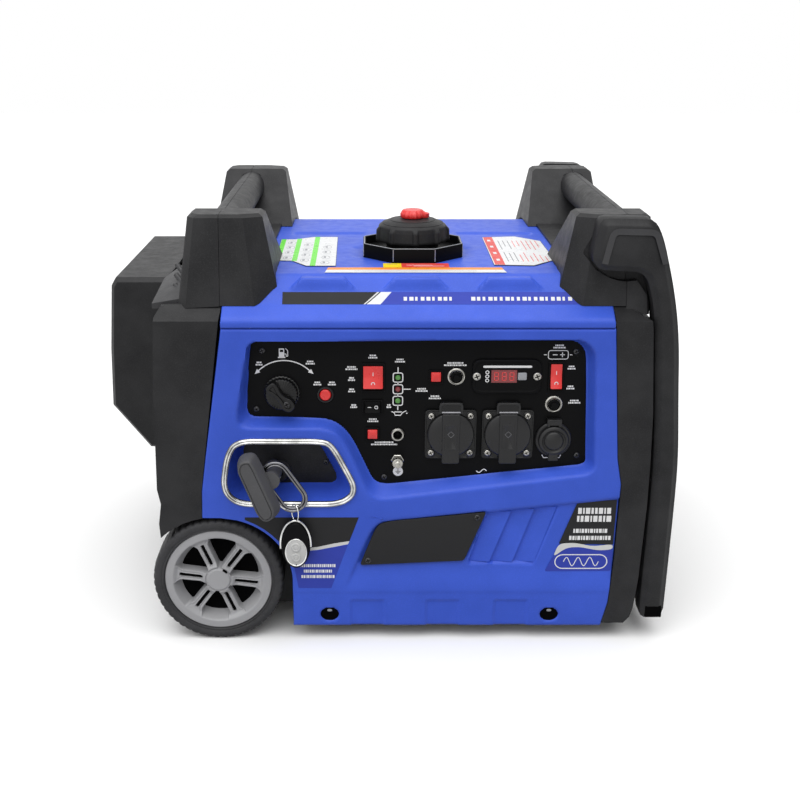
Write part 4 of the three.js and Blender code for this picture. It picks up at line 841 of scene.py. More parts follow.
def shoulders():
    """A sloping fillet from each left cap's roof up to the tower's flank, with three ribs across it.

    Its section in (x, z) runs along y; the upper edge climbs as the fillet goes inwards.
    """
    for side, word in SIDES:
        rows = []
        for t in np.linspace(0, 1, 8):
            y = side * (FACE - 27 - 76 * t)
            low, high = SEAM + 17.5 + 8 * t, SEAM + 22 + 22 * t
            section = [(-68, low), (-42, high), (-22, high), (-22, low - 5), (-68, low - 5)]
            rows.append([(LEFT + x, y, z) for x, z in section])
        # The shoulder and its ribs take the lighter black: painted highlight where they catch the light.
        lofted(f"shoulder_{word}", rows, "handle", crease=20)
        for i in range(3):
            middle = np.array([LEFT - 47.5 + i, side * (FACE - 84 + 15 * i), SEAM + 37.5 - 6.7 * i])
            reach = np.array([4.8, side * 6.0, -4.2])
            tube(f"shoulder_rib_{word}_{i + 1}", np.linspace(middle - reach, middle + reach, 6), 2.6, "handle")


# ---- Trolley handle
def arm_outline():
    """The arm's side view, its x counted from the casing's right end."""
    corners = [
        (-19, 429), (-14, 431), (31, 430), (40, 413), (54, 363), (62, 317), (66, 258), (71, 197), (71, 149), (70, 81),
        (69, 29), (63, 22), (48, 22), (45, 26), (45, 61), (48, 197), (38, 327), (35, 352), (26, 381), (-17, 383),
        (-25, 392)]
    radii = [3, 4, 8, 14, 30, 30, 30, 30, 30, 30, 4, 4, 3, 3, 20, 60, 20, 14, 12, 4, 5]
    return resampled(rounded(np.array(corners) + [RIGHT, 0], radii, 5), 5)


class GENERATOR_OT_trolley_handle(bpy.types.Operator):
    """Trolley handle: two arms with bevelled faces, a bar between them, and raised frames"""
    bl_idname = "generator.trolley_handle"
    bl_label = "Trolley handle"

    def execute(self, context):
        depth = 26.7
        nodes = ["trolley_handle"]
        for side, word in SIDES:
            inner, outer = side * (FACE - depth), side * FACE
            chamfer = [(outer - side * 5.2, 0.8), (outer - side * 1.2, 5.0), (outer, 6.6)]
            plate(f"trolley_arm_{word}", arm_outline(), inner, outer - side * 5.5, "black", "trolley",
                  edge=0.01, steps=1, rings=chamfer, stands_for=nodes, crease=50)
            nodes = ()
            # The raised frame on each pad takes the lighter black: painted highlight along its ridge.
            frame_path = [(RIGHT - 14, 390), (RIGHT - 7.5, 420), (RIGHT + 32, 419), (RIGHT + 42, 390)]
            path = resampled(rounded_open(frame_path, 6), 2, closed=False)
            half = [(-2.9, -1.2), (-1.5, 2.0), (1.5, 2.0), (2.9, -1.2)]
            tube(f"pad_frame_{word}", on_face(path, outer), half, "handle", "trolley", crease=20)
            # A near-black plate in each arm's foot: painted shade in its recess.
            foot = [(RIGHT + 49.5, 25), (RIGHT + 66, 25), (RIGHT + 66, 37), (RIGHT + 49.5, 37)]
            plate(f"arm_foot_slot_{word}", rounded(foot, 1.0), outer - side * 3, outer + side * 0.15, "void",
                  "trolley", edge=0.1)
        reach = FACE - depth + 2
        tube("trolley_bar", [(RIGHT + 57, -reach, 39), (RIGHT + 57, reach, 39)], rectangle(0, 0, 20, 30, 5) * [-1, 1],
             "black", "trolley", across=(0, 0, 1))
        return {"FINISHED"}


# ---- Wheels
def rim_depth(radius, angle, spokes, first):
    """How far the rim's face lies behind its edge, over polar coordinates.

    A flat ring, its inner wall, deep windows between double spokes, a slot in each spoke, and a hub.
    """
    step = 2 * math.pi / spokes
    from_spoke = (angle - first + step / 2) % step - step / 2
    aside = radius * np.sin(from_spoke)
    outward = radius * np.cos(from_spoke)
    ring = smooth_step(radius, 41.5, 46.5)
    half = 5.2 + 0.6 * np.clip(outward - 14, 0, 40) / 30 + 4.2 * smooth_step(outward, 37, 45)
    spoke = 1 - smooth_step(np.abs(aside), half - 0.3, half + 1.1)
    slot = (1 - smooth_step(np.abs(aside), 1.0, 1.9)) * smooth_step(outward, 16.0, 17.5)
    slot = slot * (1 - smooth_step(outward, 38.6, 40.0))
    ledge = (1 - smooth_step(np.abs(np.abs(aside) - half + 2.4), 0.1, 0.9)) * smooth_step(outward, 14, 18)
    solid = np.maximum(np.maximum(spoke, ring), 1 - smooth_step(radius, 13.0, 14.5))
    face = 3.2 * (1 - ring) * smooth_step(radius, 13, 20) + 0.55 * ledge * spoke * (1 - ring)
    wall = 16.0 - 8.0 * smooth_step(radius, 37.5, 44)
    depth = face * solid + wall * (1 - solid) + 12 * slot
    hub = smooth_step(radius, 11.6, 12.2) * (1 - smooth_step(radius, 12.9, 13.5))
    depth = depth + 1.2 * hub + 1.0 * smooth_step(radius, 53.2, 54)
    return depth - 0.6 * (1 - smooth_step(radius, 10.4, 12.0))


class GENERATOR_OT_wheels(bpy.types.Operator):
    """Wheels: a polar height field for the rim's face, and a turned tyre with notched shoulders"""
    bl_idname = "generator.wheels"
    bl_label = "Wheels"

    def execute(self, context):
        look = context.scene.generator_wheel
        for side, word in SIDES:
            self.rim(look, side, word)
            self.tyre(look, side, word)
        return {"FINISHED"}

    def rim(self, look, side, word):
        centre = WHEEL_MIDDLE if side < 0 else WHEEL_REAR
        body = "wheel_" + word
        radius = np.concatenate([
            np.linspace(1.2, 15, 22), np.linspace(15.7, 46.5, 58), np.linspace(47.4, RIM_RADIUS, 9)])
        angle = np.linspace(0, 2 * math.pi, 560, endpoint=False)
        r, a = np.meshgrid(radius, angle, indexing="ij")
        outer = side * (FACE - 3.0)
        y = outer - side * rim_depth(r, a, look.spokes, look.first_spoke)
        flank = np.stack([r[-1:] * 0 + RIM_RADIUS, a[-1:], y[-1:] * 0 + side * (FACE - TYRE_WIDTH + 4)], axis=2)
        back = np.array([(44.0, FACE - TYRE_WIDTH + 4), (44.0, FACE - 20.5), (1.2, FACE - 20.5)])
        rows = [np.stack([a[0] * 0 + br, a[0], a[0] * 0 + side * by], axis=1)[None] for br, by in back]
        polar = np.concatenate([np.stack([r, a, y], axis=2), flank, *rows])
        points = np.stack([
            centre[0] + polar[..., 0] * np.cos(polar[..., 1]), polar[..., 2],
            centre[2] + polar[..., 0] * np.sin(polar[..., 1])], axis=2)
        lofted(f"wheel_rim_{word}", points, "rim", body, stands_for=["rim_" + word], crease=50)
        # A near-black disc behind the rim's windows: painted shade inside the wheel.
        shade = side * (FACE - 17.0)
        plate(f"wheel_shade_{word}", oval(centre[0], centre[2], 41, 41, 64), shade - side * 1.2, shade, "void",
              body, edge=0.3)
        # A near-black bar deep in each spoke's slot: painted shade.
        for i in range(look.spokes):
            turn = look.first_spoke + 2 * math.pi * i / look.spokes
            way = np.array([math.cos(turn), math.sin(turn)])
            middle = centre[[0, 2]]
            plate(f"spoke_slot_{word}_{i + 1}", bar_outline(middle + way * 17.6, middle + way * 38, 1.5, 6),
                  side * (FACE - 12), side * (FACE - 7.4), "void", body, edge=0.1, steps=1)
        # A near-black notch in the hub's groove: painted shade in its recess.
        tab = np.radians(np.linspace(42, 66, 6))
        outline = np.concatenate([
            np.stack([np.cos(tab), np.sin(tab)], axis=1) * 12.6,
            np.stack([np.cos(tab[::-1]), np.sin(tab[::-1])], axis=1) * 10.9]) + centre[[0, 2]]
        plate(f"hub_notch_{word}", outline, side * (FACE - 4), side * (FACE - 2.2), "void", body, edge=0.1)

    def tyre(self, look, side, word):
        centre = WHEEL_MIDDLE if side < 0 else WHEEL_REAR
        near, away = FACE - 0.4, FACE - TYRE_WIDTH + 0.4
        r, seat = TYRE_RADIUS, RIM_RADIUS + 0.25
        profile = [
            (seat, away + 3), (seat + 2, away + 0.6), (r - 3.4, away), (r - 1.2, away + 1.2), (r - 0.3, away + 3.4),
            (r, away + 6), (r, away + 12), (r, near - 12), (r, near - 6), (r - 0.3, near - 3.4),
            (r - 1.2, near - 1.2), (r - 3.4, near), (seat + 3.6, near - 0.5), (seat + 2.6, near - 1.4),
            (seat + 1.2, near - 1.2), (seat, near - 2.6), (seat, away + 3)]
        profile = [(a, side * b) for a, b in profile]

        def tread(angle, radius, along):
            """Notches of 1 mm across the outer tread, fading towards its middle."""
            beat = np.cos(angle * look.notches)
            aside = np.abs(np.abs(along) - (near + away) / 2)
            shoulder = smooth_step(radius, r - 2.2, r - 1.0) * smooth_step(aside, 5, 9)
            return -1.0 * smooth_step(beat, 0.5, 0.85) * shoulder

        turned(f"tyre_{word}_tread", profile, centre, "y", "tyre", "wheel_" + word, count=416, ripple=tread,
               stands_for=["tyre_" + word], crease=50)


# ---- Small hardware
def screw(name, x, y, z, radius, finish, body="casing", way=-1):
    """A pan-head screw facing along Y: a domed head, with its cross recess drawn as two near-black bars of painted
    shade.
    """
    out = way * radius * 0.42
    boss(name, y, [(0, -way * 0.5), (radius, -way * 0.5), (radius, out * 0.25), (radius * 0.82, out * 0.75),
         (radius * 0.45, out), (0, out)], x, z, finish, body, count=24, crease=50)
    for i, turn in enumerate((0.4, 0.4 + math.pi / 2)):
        reach = np.array([math.cos(turn), math.sin(turn)]) * radius * 0.55
        plate(f"{name}_slot_{i + 1}", bar_outline((x, z) - reach, (x, z) + reach, radius * 0.13, 4),
              y + out * 0.6, y + out + way * 0.06, "void", body, edge=0.05)


def stamp(name, outline, y=PLATE, finish="print", body="casing", back=0.3, lift=0.0):
    """A printed shape that stands INK proud of the face at y."""
    plate(name, outline, y + back, y - INK - lift, finish, body, edge=0.05, steps=1)


def ink_bar(name, start, end, width, *where):
    """A straight printed stroke with round ends."""
    stamp(name, bar_outline(start, end, width / 2, 5), *where)


def ink_line(name, path, width, y=PLATE, finish="print", closed=False, body="casing"):
    """A printed line along a path of (x, z) points."""
    w = width / 2
    tube(name, on_face(path, y), [(-w, 0.3), (-w, -INK), (w, -INK), (w, 0.3)], finish, body, closed=closed)


def ink_spot(name, x, z, radius, *where):
    stamp(name, oval(x, z, radius, radius, 28), *where)


def sign(name, x, z, width, y=PLATE, height=1.5, rows=(0.72, 1.0), spread=1.5):
    """A generic sign: rows of small bars of uneven length, all in one piece."""
    boxes = []
    cell, gap = max(1.7, 0.62 * height), max(0.42, 0.19 * height)
    for row, share in enumerate(rows):
        level = z + ((len(rows) - 1) / 2 - row) * height * spread
        count = max(int(width * share / cell), 2)
        share_out = 1 + 0.35 * np.sin(np.arange(count) * 2.4 + x + row)
        ends = np.concatenate([[0], np.cumsum(share_out)]) / share_out.sum() - 0.5
        for start, end in zip(ends[:-1], ends[1:]):
            boxes.append((x + start * width * share, x + end * width * share - gap, level))
    left, right, level = np.array(boxes).T
    low, high = level - height / 2, level + height / 2
    front = [on_face(np.stack(corner, axis=1), y - INK)
             for corner in ((left, low), (right, low), (right, high), (left, high))]
    points = np.stack(front + [corner + [0, 0.44, 0] for corner in front], axis=1)
    faces = np.array([(0, 1, 2, 3), (7, 6, 5, 4), (0, 4, 5, 1), (1, 5, 6, 2), (2, 6, 7, 3), (3, 7, 4, 0)])
    groups = [(faces[None] + 8 * np.arange(len(boxes))[:, None, None]).reshape(-1, 4)]
    piece(name, points, groups, "print")


# ---- Control plate
SIGN_ROWS = {
    "stop": [(-94.5, 270, 8), (-80.5, 270, 8)],
    "dial": [(-150, 290, 7), (-101, 291, 9)],
    "start": [(-61.5, 285.5, 12), (-61.5, 274.5, 7), (-61.5, 263, 7)],
    "engine": [(-41, 297, 9)],
    "lamps": [(-15, 293, 10)],
    "economy": [(-59.5, 247, 7), (-41, 232.5, 11), (-25.5, 247, 5)],
    "remote": [(-30, 208.5, 26)],
    "reset": [(19, 256, 12)],
    "breaker": [(38, 289.5, 22)],
    "overload": [(6, 263.5, 12)],
    "battery": [(149.5, 286, 8), (149.5, 266, 8), (137, 307, 12)],
    "breaker_dc": [(154, 251.5, 12)],
}


class GENERATOR_OT_control_plate(bpy.types.Operator):
    """Control plate: a flat plate on the window's outline, its screws, printed signs and lamps"""
    bl_idname = "generator.control_plate"
    bl_label = "Control plate"

    def execute(self, context):
        line = context.scene.generator_control.line
        plate("control_plate", WINDOW + outwards(WINDOW) * 0.9, PLATE + 3, PLATE, "panel", edge=1.0,
              stands_for=["control_panel"])
        for i, (x, z) in enumerate([(-147, 303), (-154, 244), (153, 302), (159, 196), (-30, 173)]):
            boss(f"plate_screw_seat_{i + 1}", PLATE,
                 [(0, 1), (5, 1), (5, -0.1), (4.4, -0.25), (3.7, 0.1), (0, 0.1)], x, z, "panel", count=32)
            screw(f"plate_screw_{i + 1}", x, PLATE - 0.1, z, 2.9, "iron")
        self.dial_sign(line)
        self.lamps(line)
        for word, rows in SIGN_ROWS.items():
            for i, (x, z, width) in enumerate(rows):
                sign(f"sign_{word}_{i + 1}", x, z, width)
        ink_spot("earth_disc", -16.4, 179, 4.9)
        ink_bar("earth_stem", (-16.4, 182.6), (-16.4, 179), 0.7, PLATE - INK, "pencil")
        for i, half in enumerate((2.4, 1.5, 0.6)):
            ink_bar(f"earth_bar_{i + 1}", (-16.4 - half, 179 - 1.1 * i), (-16.4 + half, 179 - 1.1 * i), 0.6,
                    PLATE - INK, "pencil")
        wave = np.linspace(-1, 1, 30)
        ink_line("mains_wave", np.stack([66 + wave * 5, 179.5 + 1.7 * np.sin(wave * math.pi)], axis=1), line)
        hook = [(125, 196.5), (126.5, 193.5), (142, 193.5), (143.5, 196.5)]
        ink_line("outlet_sign", np.array(hook, float), line)
        cell = rectangle(136, 298.75, 19, 8.5)
        ink_line("battery_sign", resampled(rounded(cell, 2.5), 1), 0.7, closed=True)
        strokes = {"pole_left": (124.6, 122.6), "pole_right": (147.4, 149.4), "mark_131": (131, 135),
                   "mark_138": (138, 142)}
        for word, (start, end) in strokes.items():
            ink_bar("battery_" + word, (start, 298.8), (end, 298.8), 0.8)
        ink_bar("battery_mark_140", (140, 296.8), (140, 300.8), 0.8)
        return {"FINISHED"}

    def dial_sign(self, line):
        """An arc with an arrowhead at each end over the dial, and a fuel pump above it."""
        x, z = DIAL[0] + 2.6, 268
        path = arc(x, z - 9.5, 34.6, 135, 45, 30)
        ink_line("dial_arc", path, line * 1.15)
        for i, (tip, turn) in enumerate(((path[0], 222), (path[-1], -42))):
            way = np.array([math.cos(math.radians(turn)), math.sin(math.radians(turn))])
            side = np.array([-way[1], way[0]])
            head = np.array([tip + way * 5, tip + side * 2.3, tip - side * 2.3])
            stamp(f"dial_arrow_{i + 1}", head)
        px, pz = x - 1, 300.8
        stamp("pump_body", rectangle(px - 1, pz, 5.2, 8.6, 0.8))
        stamp("pump_window", rectangle(px - 1, pz + 1.9, 3.2, 2.4), finish="panel", back=0, lift=0.08)
        stamp("pump_foot", rectangle(px - 1, pz - 4.6, 7, 1.2))
        hose = rounded_open([(px + 1.6, pz - 1.2), (px + 3.4, pz - 1.2), (px + 3.4, pz - 3.6), (px + 4.9, pz - 3.6),
                             (px + 4.9, pz + 2.2), (px + 2.8, pz + 4.2)], 0.9)
        ink_line("pump_hose", hose, 0.7)

    def lamps(self, line):
        """Three lamps in joined square frames, with an oil can under them."""
        x = -17
        places = ((276, "green_lens"), (264.2, "screen"), (252.4, "green_lens"))
        for i, (z, finish) in enumerate(places):
            frame_path = resampled(rounded(rectangle(x, z, 9.2, 9.2), 2.2), 0.8)
            ink_line(f"lamp_frame_{i + 1}", frame_path, line * 1.1, closed=True)
            boss(f"lamp_lens_{i + 1}", PLATE, [(0, 1), (2.6, 1), (2.6, -0.4), (1.9, -1.2), (0, -1.5)], x, z, finish,
                 count=24)
        for i, (low, high) in enumerate(((281.4, 286), (268.9, 271.3), (257.1, 259.5), (243.2, 247.6))):
            ink_bar(f"lamp_link_{i + 1}", (x, low), (x, high), line * 1.1)
        ink_bar("lamp_tail", (x + 5.4, 264.2), (x + 12, 264.2), line)
        can = [(x - 6, 241.5), (x - 3.4, 240.2), (x - 2.6, 237.6), (x + 2.8, 237.6), (x + 4.6, 240.4), (x + 8.2, 242.2)]
        ink_line("oil_can", np.array(can), line)
        ink_bar("oil_can_lid", (x - 3, 241), (x + 3.6, 241), line)
        ink_spot("oil_drop", x + 8.8, 239.6, 0.7)


class GENERATOR_OT_dial_and_buttons(bpy.types.Operator):
    """Fuel dial, rockers in their frames, push buttons, breakers, jack and earth terminal"""
    bl_idname = "generator.dial_and_buttons"
    bl_label = "Dial and buttons"

    def execute(self, context):
        self.dial()
        self.rockers()
        for key, node, body in (("remote", "remote_button", "remote_start"), ("reset", "reset_button", "reset")):
            x, z, near, far = faced(node)
            self.switch_frame(key + "_frame", x, z, 13.6, 13.6, 2.0)
            plate(key + "_key", block(x, z, 9.4, 9.4, 0.8), far, near + 0.6, "red", body, edge=0.7,
                  rings=[(near + 0.6, 1.4), (near, 2.2)], stands_for=[node])
        self.round_button()
        self.breakers()
        self.terminals()
        return {"FINISHED"}

    def dial(self):
        """A skirted knob: a fluted disc and a waisted lever across it, from upper left to lower right."""
        x, z = DIAL[0], DIAL[2]
        front = ON_PLATE

        def knurl(angle, radius, along):
            return 0.35 * np.cos(angle * 30) * (radius > 15) * (along < front - 1.5)

        boss("dial_skirt", front, [(0, 0), (17, 0), (17, -2.2), (15.9, -3), (15.4, -7.5), (14.4, -8.6), (0, -8.9)],
             x, z, "knob", "dial", count=120, ripple=knurl, stands_for=["fuel_dial"], crease=45)
        lever = rounded([(-17, 4.6), (-12, 6.4), (-4, 3.4), (3, 3.9), (9, 6.8), (15.5, 5), (17, 0), (15.5, -5),
                         (9, -6.8), (3, -3.9), (-4, -3.4), (-12, -6.4), (-17, -4.6)], 4)
        turn = math.radians(-48)
        spin = np.array([[math.cos(turn), math.sin(turn)], [-math.sin(turn), math.cos(turn)]])
        shape = lever @ spin + [x, z]
        plate("dial_lever", shape, front - 7, front - 18.6, "knob", "dial", edge=1.2,
              rings=[(front - 18.6, 3.2), (front - 17.8, 3.8)])
        end = np.array([8.5, 0]) @ spin + [x, z]
        screw("dial_screw", end[0], front - 17.6, end[1], 3.2, "iron", "dial")

    def switch_frame(self, name, x, z, width, height, out):
        """A raised rectangular frame, its mouth sunk by the last two rings."""
        plate(name, block(x, z, width, height, 1.0), PLATE + 1, PLATE - out, "panel", edge=0.6,
              rings=[(PLATE - out, 1.3), (PLATE - out * 0.35, 1.7)])

    def rockers(self):
        sizes = {"engine": (23, 29, "red", 2.0), "economy": (20, 14.5, "panel", 2.0), "battery": (15.5, 30, "red", 2.0)}
        for key, (width, height, finish, out) in sizes.items():
            x, z, *_ = faced(key + "_rocker")
            size = np.ptp(box_of(key + "_rocker"), axis=0)
            self.switch_frame(key + "_frame", x, z, width, height, out)
            self.rocker(key, x, z, size[0], size[2], finish)

    def rocker(self, key, x, z, width, height, finish):
        """A rocker's side view, a shallow V tilted by eight degrees, pushed along x with soft edges."""
        half = height / 2 - 0.4
        v = np.linspace(-half, half, 25)
        face = -1.6 - 1.9 * np.abs(v / half) ** 1.3
        turn = math.radians(-8)
        side = np.concatenate([np.stack([face, v], axis=1), [(3.4, half - 1.2), (3.4, -half + 1.2)]])
        side = np.stack([side[:, 0] * math.cos(turn) - side[:, 1] * math.sin(turn) + PLATE,
                         side[:, 0] * math.sin(turn) + side[:, 1] * math.cos(turn) + z], axis=1)
        edge = 0.7
        insets = [(-width / 2, edge), (-width / 2 + edge * 0.3, edge * 0.3), (-width / 2 + edge, 0),
                  (width / 2 - edge, 0), (width / 2 - edge * 0.3, edge * 0.3), (width / 2, edge)]
        way = outwards(side)
        stack = np.stack([stood("x", side - way * inset, x + level) for level, inset in insets])
        body = key + "_switch"
        lofted(key + "_rocker_key", stack, finish, body, stands_for=[key + "_rocker"], crease=40)
        if key == "economy":
            y = PLATE - 2.6
            ink_bar("economy_on", (x - 4.5, z), (x - 1.5, z), 0.6, y, "print", body)
            ink_line("economy_off", resampled(oval(x + 3.6, z, 1.5, 1.5), 0.5), 0.6, y, "print", True, body)
        else:
            lean = math.sin(math.radians(8))
            low_z, high_z = z - half * 0.55, z + half * 0.3
            ink_line(key + "_off", resampled(oval(x, low_z, 1.6, 1.6), 0.5), 0.7, PLATE - 2.7 - half * 0.55 * lean,
                     "print", True, body)
            ink_bar(key + "_on", (x, high_z - 1.6), (x, high_z + 1.6), 0.7, PLATE - 2.1 + half * 0.3 * lean,
                    "print", body)

    def round_button(self):
        x, z, near, far = faced("stop_button")
        boss("stop_collar", PLATE, [(6.0, 1), (8.2, 1), (8.2, -0.8), (7.6, -1.9), (6.6, -2.1), (6.0, -1.6), (6.0, 1)],
             x, z, "socket", count=48)
        boss("stop_key", near, [(0, far - near), (5.4, far - near), (5.4, 1.2), (4.6, 0.3), (2.6, 0.25), (0, 0.6)],
             x, z, "red", "stop", count=40, stands_for=["stop_button"])

    def breakers(self):
        for key, node, body in (("ac", "ac_breaker_button", "ac_breaker"), ("dc", "dc_breaker_button", "dc_breaker")):
            x, z, near, far = faced(node)
            boss(key + "_breaker_nut", PLATE, [(5.9, 1), (8.4, 1), (8.4, -0.7), (7.9, -1.2), (7.1, -1.3), (7.0, -3.0),
                 (6.5, -3.6), (5.9, -3.3), (5.9, 1)], x, z, "zinc", count=48)
            boss(key + "_breaker_key", near, [(0, far - near), (5.4, far - near), (5.4, 4.4), (4.9, 4), (4.0, 3.8),
                 (3.6, 1.0), (3.0, 0.3), (0, 0)], x, z, "panel", body, count=40, stands_for=[node])

    def terminals(self):
        x, z, near, far = faced("comm_jack")
        end = far - PLATE
        boss("jack_ring", PLATE, [(3.6, end), (5.0, 0), (6.6, 0), (6.6, -2.2), (5.8, -3.2), (4.6, -3.3), (4.2, -2.4),
             (4.2, 5), (3.6, end)], x, z, "zinc", count=48, stands_for=["comm_jack"])
        boss("jack_core", PLATE, [(0, 6), (4.1, 6), (4.1, -0.6), (1.4, -0.6), (1.2, 2), (0, 2)], x, z, "void", count=32)
        x, z, near, far = faced("ground_stud")

        def knurl(angle, radius, along):
            return 0.3 * np.cos(angle * 24) * (radius > 4.7)

        boss("earth_nut", near, [(0, 5.6), (3, 5.6), (4.9, 6.2), (5.1, 9.6), (4.4, 10.4), (4.0, 12), (0, 12)], x, z,
             "zinc", count=144, ripple=knurl)

        def thread(angle, radius, along):
            """A sawtooth ring every 1 mm along the stud."""
            return np.where(radius > 2, 0.25 * np.cos(along * 2 * math.pi), 0)

        levels = np.arange(near + 0.4, PLATE + 6, 0.25)
        profile = [(0, near), (2.2, near)] + [(2.7, y) for y in levels] + [(2.7, far), (0, far)]
        boss("earth_stud", 0, profile, x, z, "zinc", count=24, ripple=thread, stands_for=["ground_stud"])
        boss("earth_washer", ON_PLATE, [(3, 0.3), (6.4, 0.3), (6.4, -1), (5.6, -1.5), (5.2, -3), (3, -3), (3, 0.3)],
             x, z, "zinc", count=6, crease=20)


class GENERATOR_OT_sockets(bpy.types.Operator):
    """Mains sockets with hinged flaps, and the round outlet with its lid"""
    bl_idname = "generator.sockets"
    bl_label = "Sockets"

    def execute(self, context):
        for x, word in zip(SOCKETS, ("left", "right")):
            self.mains(x, SOCKET_Z, word)
        self.outlet(DC_X, DC_Z)
        return {"FINISHED"}

    def mains(self, x, z, word):
        softened("socket_" + word, "knob", 0.8, segments=2)
        body = word + "_flap"
        front = ON_PLATE - 3
        back = front - 0.4
        ear = block(x, z, 50, 50, 7)
        plate(f"socket_face_{word}", ear, front + 0.4, front - 0.25, "knob", edge=0.3,
              rings=[(front - 0.25, 1.2), (front + 0.1, 1.6)])
        for i, (dx, dz) in enumerate(((-19, 19), (19, 19), (19, -19), (-19, -19))):
            boss(f"socket_{word}_seat_{i + 1}", front, [(0, 0.5), (4.6, 0.5), (4.6, -0.8), (3.9, -1.2), (3.4, -0.7),
                 (0, -0.7)], x + dx, z + dz, "socket", count=28)
            screw(f"socket_{word}_screw_{i + 1}", x + dx, front - 0.6, z + dz, 3.2, "zinc")
        dome = [(0, 0), (22.6, 0), (22.8, -1.2), (22.3, -2.6), (20.6, -3.6), (14, -4.6), (0, -5)]
        boss(f"flap_disc_{word}", back, dome, x, z, "socket", body, count=72, stands_for=["flap_" + word], crease=50)
        strap = rounded([(-8.6, -28.5), (8.6, -28.5), (8.4, -18), (8.8, 22.5), (-8.8, 22.5), (-8.4, -18)],
                        [2.5, 2.5, 3, 1.5, 1.5, 3])
        plate(f"flap_strap_{word}", strap + [x, z], back - 1.5, back - 5.9, "socket", body, edge=0.9)
        panel = rounded([(-6, -14), (6, -14), (6, 12), (-6, 12)], 1.5) + [x, z]
        plate(f"flap_panel_{word}", panel, back - 5, back - 6.3, "socket", body, edge=0.3,
              rings=[(back - 6.3, 0.9), (back - 6.1, 1.2)])
        diamond = np.array([(0, -3.2), (3.2, 0), (0, 3.2), (-3.2, 0)]) + [x, z + 2]
        ink_line(f"flap_mark_{word}", resampled(diamond, 0.8), 0.45, back - 6.05, "pencil", True, body)
        hinge = rounded_open([(-10.4, 22), (-10.4, 32), (10.4, 32), (10.4, 22)], 3)
        tube(f"hinge_bridge_{word}", on_face(resampled(hinge + [x, z], 1.5, closed=False), ON_PLATE - 4.2),
             rectangle(0, 0, 2.6, 4.4, 0.8), "socket")
        tube(f"hinge_pin_{word}", [(x + end, ON_PLATE - 5.9, z + 23.25) for end in (-9, 9)], 1.4, "dark_chrome", body,
             across=(0, 0, 1))

    def outlet(self, x, z):
        front = ON_PLATE
        softened("dc_socket", "socket", 0.6, segments=2)
        ring = [(15.2, 0), (17.8, 0), (17.8, -1.2), (17, -2.2), (15.8, -2.6), (15.2, -2.2), (15.2, 0)]
        boss("outlet_ring", front, ring, x, z, "socket", count=64)
        back = front - 3.4
        lid = [(0, 0), (14.8, 0), (14.8, -2.2), (13.8, -3.4), (11.6, -3.9), (10.8, -3.0), (9.6, -2.8), (8.8, -3.8),
               (7.8, -4.8), (0, -5.0)]
        boss("outlet_lid", back, lid, x, z, "socket", "dc_flap", count=64, stands_for=["dc_lid"], crease=50)
        strap = rounded([(-5, -20.5), (5, -20.5), (4.4, -13), (-4.4, -13)], 1.4) + [x, z]
        plate("outlet_pull", strap, back, back - 3.4, "socket", "dc_flap", edge=0.8)
        bridge = rounded_open([(-5.4, 14.5), (-5.4, 21), (5.4, 21), (5.4, 14.5)], 2)
        tube("outlet_hinge", on_face(resampled(bridge + [x, z], 1.2, closed=False), front - 4.4),
             rectangle(0, 0, 2.0, 3.6, 0.6), "socket")


class GENERATOR_OT_meter(bpy.types.Operator):
    """Meter: a rounded bezel, a lit window with plain eights, three spots, a key and two screws"""
    bl_idname = "generator.meter"
    bl_label = "Meter"

    def execute(self, context):
        x, z = METER[0], METER[2]
        front = ON_PLATE - 3
        count = context.scene.generator_control.digits
        plate("meter_bezel", block(x, z, 67, 35, 9), ON_PLATE + 0.2, front, "panel", edge=1.6,
              rings=[(front, 3.0), (front + 0.5, 3.5)], stands_for=["meter_module"])
        face = front + 0.5
        plate("meter_window", rectangle(x - 2.8, z + 0.5, 24.6, 12.6), face + 0.3, face - 0.2, "screen",
              edge=0.1, steps=1)
        ink_bar("meter_rule", (x - 22, z + 10.2), (x + 22.6, z + 10.2), 2.2, face)
        for i in range(count):
            self.figure(i, x - 2.8 + (i - (count - 1) / 2) * 7.4, z + 0.5, face - 0.2)
        for i in range(3):
            path = resampled(oval(x - 19, z + 4.6 - 4.1 * i, 1.5, 1.5), 0.5)
            ink_line(f"meter_spot_{i + 1}", path, 0.8, face, closed=True)
        plate("meter_key", rectangle(x + 14.6, z + 0.6, 8.6, 7.4, 1.4), face + 0.3, face - 1.3, "grey_key", edge=0.7)
        for i, side in enumerate((-1, 1)):
            screw(f"meter_screw_{i + 1}", x + side * 29, face - 0.4, z + 0.6, 4.2, "zinc")
        return {"FINISHED"}

    def figure(self, place, x, z, y):
        """A plain eight of seven strokes."""
        w, h = 2.1, 4.2
        strokes = [((-w, h), (w, h)), ((-w, 0), (w, 0)), ((-w, -h), (w, -h)), ((-w, h), (-w, 0)), ((w, h), (w, 0)),
                   ((-w, 0), (-w, -h)), ((w, 0), (w, -h))]
        for i, (start, end) in enumerate(strokes):
            start, end = np.array(start) * 0.9 + [x, z], np.array(end) * 0.9 + [x, z]
            ink_bar(f"meter_figure_{place + 1}_{i + 1}", start, end, 0.7, y, "figure")


